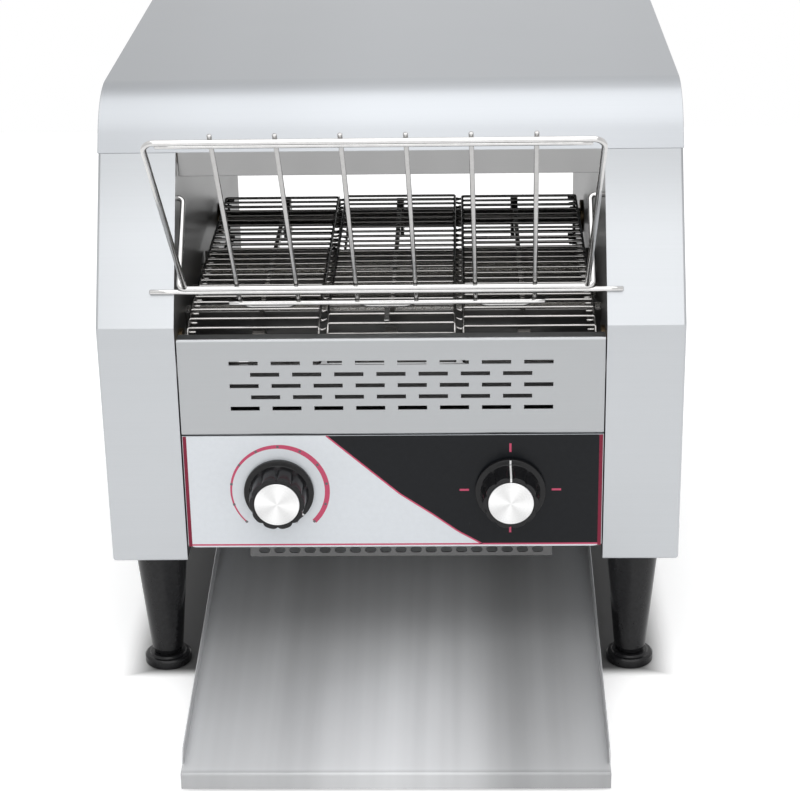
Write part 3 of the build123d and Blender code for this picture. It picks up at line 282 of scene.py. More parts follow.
def joined(shapes):
    """Several surfaces as one."""
    places = []
    faces = []
    count = 0
    for vertices, quads in shapes:
        places.append(np.asarray(vertices, float))
        faces += [[corner + count for corner in quad] for quad in quads]
        count += len(vertices)
    return np.concatenate(places), faces


def merged_copy(node):
    """Places and triangles of a solid with its doubled corners merged."""
    mesh = frame["nodes"][node].data
    places = np.empty(len(mesh.vertices) * 3, np.float32)
    mesh.vertices.foreach_get("co", places)
    places = places.reshape(-1, 3)
    corners = np.empty(len(mesh.loops), np.int32)
    mesh.loops.foreach_get("vertex_index", corners)
    _, first, back = np.unique(np.round(places * MERGE_GRID).astype(np.int64), axis=0, return_index=True,
                               return_inverse=True)
    faces = back.reshape(-1)[corners].reshape(-1, 3)
    real = (faces != np.roll(faces, 1, axis=1)).all(axis=1)
    return places[first], faces[real].tolist()


def dress_solid(node, material, edge=0.0, pierced=False):
    """Smooth copy of a solid, which stands for the solid, with its edges rounded unless it is a pierced
    sheet.

    Flat facets are joined first, but not on pierced sheets, whose facets keep their holes apart.
    """
    shape = merged_copy(node)
    piece = make_piece(node + "_dressed", shape, BODIES[node], material, node, CREASE)
    if pierced:
        return
    solid = bmesh.new()
    solid.from_mesh(piece.data)
    bmesh.ops.dissolve_limit(solid, angle_limit=FLAT_TURN, use_dissolve_boundaries=False, verts=solid.verts,
                             edges=solid.edges)
    solid.to_mesh(piece.data)
    solid.free()
    piece.data.shade_smooth()
    piece.data.set_sharp_from_angle(angle=math.radians(CREASE))
    bevel = piece.modifiers.new("edges", "BEVEL")
    bevel.width = edge
    bevel.segments = 2
    bevel.limit_method = "ANGLE"
    bevel.angle_limit = math.radians(CREASE)
    bevel.harden_normals = True
    bevel.miter_outer = "MITER_ARC"


# Finishes

# Painted light and shade in broad bands of a finish: the axis, where they start and end on it, and shares of
# the tone along that way
PAINTED_LIGHT_BANDS = {
    # Painted shade: the hood's tone darker towards both of its sides
    "brushed_hood_steel": (
        ("X", -0.185, 0.185, ((0.0, 0.86), (0.25, 0.93), (0.5, 1.0), (0.85, 0.98), (1.0, 0.95))),),
    # Painted shade: the side boxes darker near the top, under the hood's lip
    "bright_panel_steel": (("Z", 0.25, 0.36, ((0.0, 1.0), (0.45, 1.0), (1.0, 0.78))),),
    # Painted shade: the chamber sheet darker towards the bottom
    "chamber_steel": (("Z", 0.23, 0.34, ((0.0, 0.55), (0.3, 0.7), (1.0, 1.0))),),
    # Painted reflection: a lighter band a little left of the tray's middle, darker towards the sides. Painted
    # shade: a dark line along the front lip and the front darker than the rear
    "brushed_tray_steel": (
        ("X", -0.135, 0.135,
         ((0.0, 0.74), (0.22, 0.78), (0.44, 1.0), (0.6, 0.96), (0.78, 0.66), (1.0, 0.64))),
        ("Y", -0.28, 0.14,
         ((0.0, 0.62), (0.004, 0.62), (0.011, 0.88), (0.3, 0.91), (0.55, 1.0), (1.0, 1.0)))),
    # Painted shade: the belt darker on its lower run and towards the rear
    "darkened_belt_wire": (
        ("Z", 0.215, 0.255, ((0.0, 0.30), (0.6, 0.35), (0.78, 1.0), (1.0, 1.0))),
        ("Y", NOSE, NOSE + 0.29, ((0.0, 1.0), (0.4, 0.9), (0.75, 0.45), (1.0, 0.35)))),
}
# Each finish: metallic, roughness, scale of its grain, the shares by which its tone and its roughness stray,
# bump, gloss, and its tone where no setting gives one
BRUSHED = (2.0, 1500.0, 1500.0)
SHEET = (BRUSHED, 0.012, 0.07, 0.02, 0.5)
FINISHES = {
    "brushed_hood_steel": (0.9, 0.36, *SHEET),
    "bright_panel_steel": (0.9, 0.30, *SHEET),
    "vent_panel_steel": (0.9, 0.30, *SHEET),
    "chamber_steel": (0.9, 0.38, *SHEET),
    "underside_steel": (0.9, 0.38, *SHEET),
    "brushed_tray_steel": (0.6, 0.50, (30.0, 0.6, 0.6), 0.10, 0.15, 0.0, 0.5),
    "darkened_belt_wire": (1.0, 0.22, (90.0, 260.0, 260.0), 0.08, 0.3, 0.0, 0.5),
    "bright_clip_steel": (1.0, 0.24, 180.0, 0.06, 0.3, 0.0, 0.5, (0.66, 0.655, 0.65)),
    "polished_rack_wire": (1.0, 0.14, 180.0, 0.06, 0.35, 0.05, 0.5),
    "drawn_rack_wire": (1.0, 0.18, 180.0, 0.06, 0.35, 0.05, 0.5),
    "glossy_black_plastic": (0.0, 0.18, 700.0, 0.3, 0.2, 0.05, 0.25),
    "pale_print": (0.0, 0.32, 300.0, 0.02, 0.2, 0.0, 0.5),
    "dark_print": (0.0, 0.24, 300.0, 0.1, 0.2, 0.0, 0.16),
    "red_print": (0.0, 0.3, 300.0, 0.05, 0.2, 0.0, 0.25),
    "maroon_print": (0.0, 0.3, 300.0, 0.05, 0.2, 0.0, 0.2),
    "grey_print": (0.0, 0.3, 300.0, 0.05, 0.2, 0.0, 0.5, (0.12, 0.11, 0.12)),
    "white_mark": (0.0, 0.35, 300.0, 0.03, 0.2, 0.0, 0.5, (0.8, 0.8, 0.8)),
    "moulded_leg_plastic": (0.0, 0.22, 420.0, 0.3, 0.25, 0.08, 0.25),
    "resistance_wire": (1.0, 0.4, 400.0, 0.2, 0.3, 0.0, 0.5, (0.26, 0.22, 0.19)),
    "bright_reflector": (1.0, 0.30, BRUSHED, 0.01, 0.06, 0.0, 0.5, (0.31, 0.31, 0.31)),
    "burnt_reflector": (1.0, 0.34, BRUSHED, 0.03, 0.1, 0.0, 0.5, (0.20, 0.198, 0.195)),
    "white_ceramic": (0.0, 0.55, 350.0, 0.05, 0.2, 0.1, 0.5, (0.80, 0.77, 0.70)),
    "screw_steel": (1.0, 0.3, 600.0, 0.08, 0.3, 0.0, 0.5, (0.42, 0.42, 0.43)),
    "screw_recess": (0.6, 0.5, 600.0, 0.1, 0.2, 0.0, 0.5, (0.03, 0.03, 0.03)),
    "ground_shaft_steel": (1.0, 0.25, (900.0, 60.0, 60.0), 0.06, 0.3, 0.05, 0.5, (0.52, 0.52, 0.52)),
    "heat_dark_steel": (1.0, 0.36, 250.0, 0.12, 0.25, 0.1, 0.5, (0.11, 0.105, 0.10)),
    "cut_sprocket_steel": (1.0, 0.38, 250.0, 0.12, 0.25, 0.1, 0.5, (0.34, 0.34, 0.34)),
    "sintered_bush": (1.0, 0.42, 900.0, 0.15, 0.2, 0.2, 0.5, (0.10, 0.075, 0.045)),
    "motor_paint": (0.0, 0.4, 600.0, 0.15, 0.2, 0.15, 0.5, (0.03, 0.03, 0.034)),
    "moulded_black": (0.0, 0.45, 600.0, 0.2, 0.2, 0.15, 0.5, (0.02, 0.02, 0.02)),
    "lacquered_board": (0.0, 0.3, 350.0, 0.15, 0.2, 0.0, 0.5, (0.02, 0.11, 0.04)),
    "pale_floor": (0.0, 0.9, 30.0, 0.004, 0.05, 0.0, 0.5, (0.96, 0.96, 0.96)),
}
# Depth of the bumps on brushed sheets and elsewhere, detail of the grain, and scale and detail of smudges
SHEET_RELIEF = 0.00005
RELIEF = 0.0001
GRAIN_DETAIL = 3.0
SMUDGE = 9.0
SMUDGE_DETAIL = 2.0
# Knob caps: tone, its share in the darker wedges of painted sheen, the wedges' number and twist, and scale of
# the rings
CAP_TONE = 0.76
CAP_PAINTED_SHEEN = 0.82
CAP_WEDGES = 4.0
CAP_TWIST = 0.9
CAP_RINGS = 4500.0


def add_node(tree, kind, values=(), feeds=(), **settings):
    """Shader node of a kind with its settings, the values of its inputs and the outputs that feed them."""
    node = tree.nodes.new("ShaderNode" + kind)
    for name, value in settings.items():
        setattr(node, name, value)
    for socket, value in dict(values).items():
        node.inputs[socket].default_value = value
    for socket, output in dict(feeds).items():
        tree.links.new(output, node.inputs[socket])
    return node


def worked(tree, operation, *terms):
    """Output of a sum over numbers and other outputs."""
    node = add_node(tree, "Math", operation=operation)
    for socket, term in zip(node.inputs, terms):
        if isinstance(term, float):
            socket.default_value = term
        else:
            tree.links.new(term, socket)
    return node.outputs["Value"]


def object_axes(tree):
    """Outputs X, Y and Z of the Object coordinates."""
    place = add_node(tree, "TexCoord").outputs["Object"]
    return add_node(tree, "SeparateXYZ", feeds={"Vector": place}).outputs


def new_material(name):
    """Empty material and its tree of nodes."""
    material = bpy.data.materials.new(name)
    material.use_nodes = True
    material.node_tree.nodes.clear()
    return material, material.node_tree


def surfaced(tree, values, feeds):
    """Principled shader with its values and feeds, as a material's surface."""
    shader = add_node(tree, "BsdfPrincipled", values, feeds)
    add_node(tree, "OutputMaterial", feeds={"Surface": shader.outputs["BSDF"]})


def noise_field(tree, scale, detail=GRAIN_DETAIL):
    """Noise over Object coordinates stretched by a scale for each axis."""
    place = add_node(tree, "TexCoord").outputs["Object"]
    mapping = add_node(tree, "Mapping", {"Scale": scale}, {"Vector": place})
    noise = add_node(tree, "TexNoise", {"Scale": 1.0, "Detail": detail, "Roughness": 0.6},
                     {"Vector": mapping.outputs["Vector"]})
    return noise.outputs["Fac"]


def spread(tree, field, low, high):
    """Field from 0.25 to 0.75 carried to a range of values."""
    ends = {"From Min": 0.25, "From Max": 0.75, "To Min": low, "To Max": high}
    return add_node(tree, "MapRange", ends, {"Value": field}).outputs["Result"]


def tone_field(tree, field, tone, share):
    """Colour that strays from a tone by a share as a field goes from 0.3 to 0.7."""
    ramp = add_node(tree, "ValToRGB", feeds={"Fac": field})
    for mark, position, side in zip(ramp.color_ramp.elements, (0.3, 0.7), (1 - share, 1 + share)):
        mark.position = position
        mark.color = [min(1.0, value * side) for value in tone] + [1]
    return ramp.outputs["Color"]


def paint_light_bands(tree, tone, axis, low, high, stops):
    """Tone darkened by painted light and shade in broad bands along an axis, by shares of it on the way from
    low to high.
    """
    field = object_axes(tree)[axis]
    across = add_node(tree, "MapRange", {"From Min": low, "From Max": high}, {"Value": field})
    ramp = add_node(tree, "ValToRGB", feeds={"Fac": across.outputs["Result"]})
    ramp.color_ramp.interpolation = "EASE"
    marks = ramp.color_ramp.elements
    while len(marks) < len(stops):
        marks.new(1.0)
    for mark, (position, share) in zip(marks, stops):
        mark.position = position
        mark.color = (share, share, share, 1.0)
    mixed = add_node(tree, "Mix", {"Factor": 1.0}, {"A": tone, "B": ramp.outputs["Color"]},
                     data_type="RGBA", blend_type="MULTIPLY")
    return mixed.outputs["Result"]


def finish(name, tone=None):
    """Principled finish by its row: grain in tone, roughness and bump, broad smudges in roughness, and for
    some finishes painted light and shade in broad bands of tone.
    """
    metallic, roughness, scale, share, rough_share, bump, gloss, *fixed = FINISHES[name]
    material, tree = new_material(name)
    grain = noise_field(tree, np.broadcast_to(scale, 3).tolist())
    broad = noise_field(tree, (SMUDGE, SMUDGE, SMUDGE), SMUDGE_DETAIL)
    mixed = worked(tree, "MULTIPLY_ADD", grain, 0.5, worked(tree, "MULTIPLY", broad, 0.5))
    colour = tone_field(tree, grain, fixed[0] if fixed else tone, share)
    # Painted light and shade: broad bands that darken the tone of some finishes
    for band in PAINTED_LIGHT_BANDS.get(name, ()):
        colour = paint_light_bands(tree, colour, *band)
    rough = spread(tree, mixed, roughness * (1 - rough_share), roughness * (1 + rough_share))
    feeds = {"Base Color": colour, "Roughness": rough}
    if bump:
        depth = SHEET_RELIEF if scale == BRUSHED else RELIEF
        relief = add_node(tree, "Bump", {"Strength": bump, "Distance": depth}, {"Height": grain})
        feeds["Normal"] = relief.outputs["Normal"]
    surfaced(tree, {"Metallic": metallic, "Specular IOR Level": gloss}, feeds)
    return material


def spun_metal(name, centre):
    """Turned disc: rings by distance from its centre, a sheen that runs round with the turning marks, and a
    painted sheen of lighter and darker wedges in its colour.
    """
    material, tree = new_material(name)
    mapping = add_node(tree, "Mapping", {"Location": (-centre[0], 0.0, -centre[2]), "Scale": (1.0, 0.0, 1.0)},
                       {"Vector": add_node(tree, "TexCoord").outputs["Object"]})
    away = mapping.outputs["Vector"]
    length = add_node(tree, "VectorMath", feeds={0: away}, operation="LENGTH")
    rings = add_node(tree, "TexNoise", {"Scale": CAP_RINGS}, {"W": length.outputs["Value"]},
                     noise_dimensions="1D")
    axes = add_node(tree, "SeparateXYZ", feeds={"Vector": away}).outputs
    # Painted sheen: the cap's colour turns lighter and darker in wedges round its middle
    angle = worked(tree, "ARCTAN2", axes["Z"], axes["X"])
    wave = worked(tree, "COSINE", worked(tree, "MULTIPLY_ADD", angle, CAP_WEDGES, CAP_TWIST))
    sheen = add_node(tree, "MapRange", {"From Min": -1.0, "To Min": CAP_TONE * CAP_PAINTED_SHEEN, "To Max": CAP_TONE},
                     {"Value": wave})
    tangent = add_node(tree, "Tangent", direction_type="RADIAL", axis="Y")
    feeds = {"Base Color": sheen.outputs["Result"], "Tangent": tangent.outputs["Tangent"],
             "Roughness": spread(tree, rings.outputs["Fac"], 0.18, 0.36)}
    surfaced(tree, {"Metallic": 1.0, "Anisotropic": 0.8}, feeds)
    return material


def quartz_glass(name):
    """Clear tube with faint draw lines."""
    material, tree = new_material(name)
    rough = spread(tree, noise_field(tree, (4.0, 900.0, 900.0)), 0.03, 0.12)
    values = {"Base Color": (0.96, 0.94, 0.90, 1.0), "Transmission Weight": 0.9, "IOR": 1.46}
    surfaced(tree, values, {"Roughness": rough})
    return material


# Sheet steel

class TOASTER_OT_sheet_steel(bpy.types.Operator):
    """Dress the hood, side boxes, front panels and tray with brushed steel, and round the edges of the sheets
    that are not pierced
    """
    bl_idname = "toaster.sheet_steel"
    bl_label = "Sheet steel"

    def execute(self, context):
        steel = context.scene.toaster.steel
        panel = finish("bright_panel_steel", steel.panel)
        inside = finish("chamber_steel", steel.inside)
        groups = (
            (finish("brushed_hood_steel", steel.hood), False, ("top_cover",)),
            (panel, True, ("control_panel",)),
            # Painted shade: darker tone for the rack's shadow over the pierced panel
            (finish("vent_panel_steel", steel.vent), True, ("front_vent_panel",)),
            (panel, True, ("right_side_panel", "left_side_panel", "rear_panel")),
            (finish("brushed_tray_steel", steel.tray), False, ("slide_tray",)),
            (inside, True, ("right_inner_wall", "left_inner_wall", "base_plate")),
            (inside, False, ("toast_deflector",)),
            (finish("underside_steel", steel.under), False,
             ("control_box", "right_tray_ledge", "left_tray_ledge")),
        )
        for material, pierced, nodes in groups:
            for node in nodes:
                dress_solid(node, material, steel.edge, pierced=pierced)
        return {"FINISHED"}


# Belt

# Depths and heights of the shafts and of the break in the top run, and the belt's radii round the shafts
DRIVE = np.array([0.275, 0.237])
IDLER = np.array([0.024, 0.235])
BREAK = np.array([0.048, 0.253])
DRIVE_RADIUS = 0.016
IDLER_RADIUS = 0.012
# Hook columns: share of the half width, half a hook's width, the edge hook, and the middle's step back
COLUMN_SHARE = 0.333
HOOK_HALF = 0.00275
EDGE_HOOK = 0.005
STEP_SHARE = 0.4
SMALL_LIFT = 0.001


def on_circle(centre, radius, turn):
    """Place on a circle at a turn."""
    return centre + radius * np.array([math.cos(turn), math.sin(turn)])


def belt_stretches():
    """Belt's side view in order: top run, slope, front wrap, lower run and rear wrap.

    A run is its two ends; a wrap is its centre, its radius and the turns where it starts and ends.
    """
    reach = BREAK - IDLER
    front_turn = math.atan2(reach[1], reach[0]) + math.acos(IDLER_RADIUS / np.linalg.norm(reach))
    line = DRIVE - IDLER
    low_turn = (TURN + math.atan2(line[1], line[0])
                - math.acos((IDLER_RADIUS - DRIVE_RADIUS) / np.linalg.norm(line)))
    top = DRIVE + np.array([0, DRIVE_RADIUS])
    low_run = (on_circle(IDLER, IDLER_RADIUS, low_turn), on_circle(DRIVE, DRIVE_RADIUS, low_turn))
    front = on_circle(IDLER, IDLER_RADIUS, front_turn)
    return [(top, BREAK), (BREAK, front), (IDLER, IDLER_RADIUS, front_turn, low_turn), low_run,
            (DRIVE, DRIVE_RADIUS, low_turn, 1.25 * TURN)]


def belt_place(along, lift):
    """Depth and height at distances along the belt, lifted off its line, and the belt's whole length.

    On a straight run the place is start + step * distance + outward * lift; on a wrap it is
    centre + (radius + lift) * (cos t, sin t) with t growing by distance / radius.
    """
    order = belt_stretches()
    lengths = [np.linalg.norm(s[1] - s[0]) if len(s) == 2 else s[1] * (s[3] - s[2]) for s in order]
    ends = np.cumsum(lengths)
    along = np.mod(along, ends[-1])
    places = []
    for stretch, end, length in zip(order, ends, lengths):
        gone = along - (end - length)
        if len(stretch) == 2:
            step = unit(stretch[1] - stretch[0])
            outward = np.array([step[1], -step[0]])
            places.append(stretch[0] + step * gone[..., None] + outward * lift[..., None])
        else:
            centre, radius, turn, _ = stretch
            angle = turn + gone / radius
            arm = np.stack([np.cos(angle), np.sin(angle)], axis=-1)
            places.append(centre + arm * (radius + lift)[..., None])
    which = np.searchsorted(ends, along, side="left").clip(0, len(order) - 1)
    chosen = np.take_along_axis(np.stack(places), which[None, ..., None], axis=0)[0]
    return chosen, ends[-1]


class TOASTER_OT_belt(bpy.types.Operator):
    """Bend the strands of the wire belt round, with hooks at both edges and at two columns"""
    bl_idname = "toaster.belt"
    bl_label = "Wire belt"

    def execute(self, context):
        belt = context.scene.toaster.belt
        _, total = belt_place(np.zeros(1), np.zeros(1))
        count = round(total / belt.pitch)
        pitch = total / count
        edge = belt.half
        step = -STEP_SHARE * pitch
        reach = pitch + belt.hook
        under = -belt.hook
        left = -edge * COLUMN_SHARE - HOOK_HALF
        right = -edge * COLUMN_SHARE + HOOK_HALF
        half = [(-edge + EDGE_HOOK, reach, under), (-edge, reach, under), (-edge, 0, 0), (left, 0, 0),
                (left, reach, under), (right, reach + step, under), (right, step, 0)]
        other_half = [(-x, along, lift) for x, along, lift in half[::-1]]
        line = rounded_path(half + other_half, belt.bend, steps=5)
        along = line[None, :, 1] + np.arange(count)[:, None] * pitch
        lift = np.broadcast_to(line[None, :, 2], along.shape)
        low, _ = belt_place(along, lift)
        high, _ = belt_place(along, lift + SMALL_LIFT)
        across = np.broadcast_to(line[None, :, 0], along.shape)
        paths = np.stack([across, low[..., 0] + NOSE, low[..., 1]], axis=-1)
        outward = np.concatenate([np.zeros(along.shape)[..., None], high - low], axis=-1)
        outward = np.concatenate([outward[:, :1], outward, outward[:, -1:]], axis=1)
        # Belt wire with painted shade, darker on its lower run and towards the rear
        wire = finish("darkened_belt_wire", belt.tone)
        strands = tubes(paths, belt.wire, outward, sides=8)
        make_piece("belt_strands", strands, "cabinet", wire, "conveyor_belt", sharp=60.0)
        dress_solid("belt_clip", finish("bright_clip_steel"), edge=0.0003)
        dress_solid("belt_guides", wire, edge=0.0003)
        return {"FINISHED"}


# Rack

# Lean of the rack, its length, how far it stands and leans aside, and its wires
LEAN = math.radians(34.5)
RACK_LENGTH = 0.1454
RACK_SHIFT = -0.0025
RACK_SKEW = -0.0026
CROSS = 0.0029
BAR = 0.0034
FRAME_WIRE = 0.0035
TOP_WIRE = 0.0031
PIN_OFFSET = (CROSS + BAR) / 2
# Slanted front of the side boxes, and the pins and pivots that stand by it
SLANT_DEPTH = 0.057
SLANT_HEIGHT = 0.0965
SLANT_TOP = 0.352
FRONT_SLOPE = SLANT_DEPTH / SLANT_HEIGHT
SEAT_GAP = 0.0003
PIN_HEIGHT = 0.276
PIN_DEPTH = (SLANT_DEPTH + (PIN_HEIGHT - SLANT_TOP) * FRONT_SLOPE
             - (BAR / 2 + SEAT_GAP) * math.hypot(1, FRONT_SLOPE))
PIVOT_HEIGHT = 0.324
PIVOT_BACK = 0.011
PIVOT_DEPTH = SLANT_DEPTH + (PIVOT_HEIGHT - SLANT_TOP) * FRONT_SLOPE + PIVOT_BACK
# Half widths, insets, drops and gaps of the rack's wires
FRAME_HALF = 0.1250
FRAME_TOP_HALF = 0.1315
HANGER_HALF = 0.1286
HANGER_END = 0.141
PIN_END = 0.147
TOP_ROD_INSET = 0.0075
FRONT_ROD_INSET = 0.0262
FRONT_ROD_DROP = 0.013
HAIRPIN_GAP = 0.0371
HAIRPIN_DROP = 0.02
HAIRPIN_TIP = 0.0004


def rack_place(x, rise, out):
    """Place on the rack: across from its middle, up its slant from the pins, and out of its cross wires."""
    out = out - PIN_OFFSET
    return (x + RACK_SHIFT + RACK_SKEW * rise / RACK_LENGTH,
            PIN_DEPTH + NOSE - rise * math.sin(LEAN) - out * math.cos(LEAN),
            PIN_HEIGHT + rise * math.cos(LEAN) - out * math.sin(LEAN))


def rack_bar(half, rise, out):
    """Level wire of the rack, from side to side."""
    return [np.linspace(rack_place(-half, rise, out), rack_place(half, rise, out), num=24)]


class TOASTER_OT_rack(bpy.types.Operator):
    """Bend the polished wires of the loading rack"""
    bl_idname = "toaster.rack"
    bl_label = "Loading rack"

    def execute(self, context):
        rack = context.scene.toaster.rack
        wire = finish("polished_rack_wire", rack.tone)
        # Painted shade: the hairpins take the rack's wire with a darker tone
        hairpin_shade = finish("drawn_rack_wire", rack.wires)
        normal = (0.0, -math.cos(LEAN), -math.sin(LEAN))
        low = 1.5 * BAR
        out = (CROSS + FRAME_WIRE) / 2
        corners = [(-FRAME_HALF, low), (-FRAME_TOP_HALF, RACK_LENGTH), (FRAME_TOP_HALF, RACK_LENGTH),
                   (FRAME_HALF, low)]
        rim = [rounded_path([rack_place(x, rise, out) for x, rise in corners], radius=0.007, steps=10)]
        left = rack_place(-HANGER_HALF, BAR, PIN_OFFSET)
        right = rack_place(HANGER_HALF, BAR, PIN_OFFSET)
        pivot = (PIVOT_DEPTH + NOSE, PIVOT_HEIGHT)
        line = [(-HANGER_END, *pivot), (left[0], *pivot), left, right, (right[0], *pivot),
                (HANGER_END, *pivot)]
        arm = np.subtract(line[4], line[3])
        arms = [rounded_path(line, radius=0.0034, steps=8)]
        rise = RACK_LENGTH - (FRAME_WIRE + TOP_WIRE) / 2
        upper = rack_bar(FRAME_TOP_HALF - TOP_ROD_INSET, rise, (CROSS + TOP_WIRE) / 2)
        lower = rack_bar(FRAME_HALF - FRONT_ROD_INSET, -FRONT_ROD_DROP, CROSS)
        tip = RACK_LENGTH + FRAME_WIRE / 2 + HAIRPIN_TIP
        pins = []
        for middle in (-2 * HAIRPIN_GAP, 0.0, 2 * HAIRPIN_GAP):
            near = middle - HAIRPIN_GAP / 2
            far = middle + HAIRPIN_GAP / 2
            turn = [(near, tip), (near, -HAIRPIN_DROP), (far, -HAIRPIN_DROP), (far, tip)]
            pins.append(rounded_path([rack_place(x, r, 0.0) for x, r in turn], radius=0.008, steps=10))
        for name, node, paths, thickness, lean, steel in (
                ("rack_rim", "rack_frame", rim, FRAME_WIRE, normal, wire),
                ("rack_arms", "rack_hanger", arms, BAR, (0.0, -arm[2], arm[1]), wire),
                ("rack_pins", "rack_pin_rod", rack_bar(PIN_END, 0.0, PIN_OFFSET), BAR, normal, wire),
                ("rack_upper_rod", "rack_top_rod", upper, TOP_WIRE, normal, wire),
                ("rack_lower_rod", "rack_front_rod", lower, CROSS, normal, wire),
                ("rack_wires", "rack_hairpins", pins, CROSS, normal, hairpin_shade)):
            shape = tubes(paths, thickness / 2, lean, rack.sides)
            make_piece(name, shape, "loading_rack", steel, node, sharp=50.0)
        return {"FINISHED"}


# Controls

# Knobs: their middles, the label's face, the place behind them, and their profiles of radii and heights
SPEED = np.array([-0.0734, 0.0, 0.1426])
SELECTOR = np.array([0.0751, 0.0, 0.1426])
FACE = NOSE + 0.0015
KNOB_BACK = FACE - 0.0008
FRONT_AXES = ((1.0, 0.0, 0.0), (0.0, 0.0, 1.0), (0.0, -1.0, 0.0))
KNOB_PROFILE = softened([(0.0001, 0.0), (0.0225, 0.0), (0.0225, 0.003), (0.0192, 0.0034), (0.0176, 0.02),
                         (0.01455, 0.02), (0.01455, 0.0192), (0.0001, 0.0192)], 0.0005, 5)
CAP_PROFILE = softened([(0.0002, 0.0192), (0.0144, 0.0192), (0.0144, 0.0203), (0.0002, 0.0204)], 0.0003)
# Flutes: depth, where they start and fade by height and by radius, steps round one and between corners
FLUTE_DEPTH = 0.0015
FLUTE_START = 0.0036
FLUTE_FADE = 0.0012
FLUTE_INNER = 0.0152
FLUTE_INNER_FADE = 0.0008
FLUTE_STEPS = 16
RISE_STEPS = 4
# Label: edges, borders, lines, the step between layers of print, and the boundary of its dark part
LABEL_TOP = 0.1810
LABEL_LOW = 0.1022
LABEL_HALF = 0.1338
BORDER = 0.0023
BORDER_FOOT = LABEL_LOW + 0.0006
FOOT_LINE = LABEL_LOW + 0.0017
PRINT_LAYER = 0.00003
LINE_DEPTH = FACE - 2 * PRINT_LAYER
BOUNDARY = ((-0.0421, LABEL_TOP), (0.0043, 0.1399), (0.0250, 0.1255), (0.0414, 0.1131), (0.0570, FOOT_LINE))
# Dial: its arc in hours of a clock, its growing width and its dots
DIAL_START = 7.5
DIAL_END = 16.5
DIAL_GROWTH = 5.5
DIAL_THIN = 0.0009
DIAL_GROWN = 0.0023
DIAL_STEPS = 90
DOTS = 11
DOT = 0.0016
# Marks round the selector: where they start, and their hours and lengths
MARK_START = 0.0265
MARKS = ((9.0, 0.006), (12.0, 0.006), (15.0, 0.006), (18.0, 0.004))
# Pointer lines: half their width, and each stretch's near and far radius and near and far height
POINTER_HALF = 0.0006
GRIP_RUN = ((0.0178, 0.0193, 0.0201, 0.0038), (0.0196, 0.0222, 0.00345, 0.0031))
TOP_RUN = ((0.0147, 0.0177, 0.0201, 0.0201),)


def clock_arm(hours):
    """Direction in x and z of a clock place, seen from the front."""
    turn = np.radians(90.0 - 30.0 * np.asarray(hours))
    return np.stack([np.cos(turn), np.sin(turn)], axis=-1)


def clock_mark(centre, hours, start, length, width, depth):
    """Short printed line that points away from a knob's middle."""
    foot = centre[[0, 2]] + clock_arm(hours) * start
    return ribbon(np.stack([foot, foot + clock_arm(hours) * length]), width, depth)


def fluted_grip(flutes, centre):
    """Knob surface over height and turn: its profile, drawn in between lobes, less so at the ends.

    radius = profile - depth * fade * (1 - |cos(flutes * v / 2)|) squared, on a grid of heights and turns.
    """
    pairs = zip(KNOB_PROFILE[:-1], KNOB_PROFILE[1:])
    rise = np.concatenate([np.linspace(a, b, RISE_STEPS, endpoint=False) for a, b in pairs])
    turn = np.linspace(0, TURN, flutes * FLUTE_STEPS, endpoint=False)
    by_height = np.clip((rise[:, 1] - FLUTE_START) / FLUTE_FADE, 0, 1)
    by_radius = np.clip((rise[:, 0] - FLUTE_INNER) / FLUTE_INNER_FADE, 0, 1)
    lobe = (1 - np.abs(np.cos(flutes * turn / 2))) ** 2
    radius = rise[:, 0, None] - FLUTE_DEPTH * (by_height * by_radius)[:, None] * lobe[None, :]
    depth = np.broadcast_to((KNOB_BACK - rise[:, 1])[:, None], radius.shape)
    places = np.stack([centre[0] + radius * np.cos(turn), depth, centre[2] + radius * np.sin(turn)], axis=-1)
    return places, capped_faces(*radius.shape)


def pointer(centre, hours, stretches):
    """Line down a knob: one quad for each stretch."""
    across, up = clock_arm(hours)
    arm = np.array([across, 0.0, up])
    side = np.array([-up, 0.0, across]) * POINTER_HALF
    shapes = []
    for near, far, near_height, far_height in stretches:
        start = centre * (1, 0, 1) + arm * near + np.array([0, KNOB_BACK - near_height, 0])
        end = centre * (1, 0, 1) + arm * far + np.array([0, KNOB_BACK - far_height, 0])
        shapes.append((np.array([start - side, start + side, end + side, end - side]), [[0, 1, 2, 3]]))
    return joined(shapes)


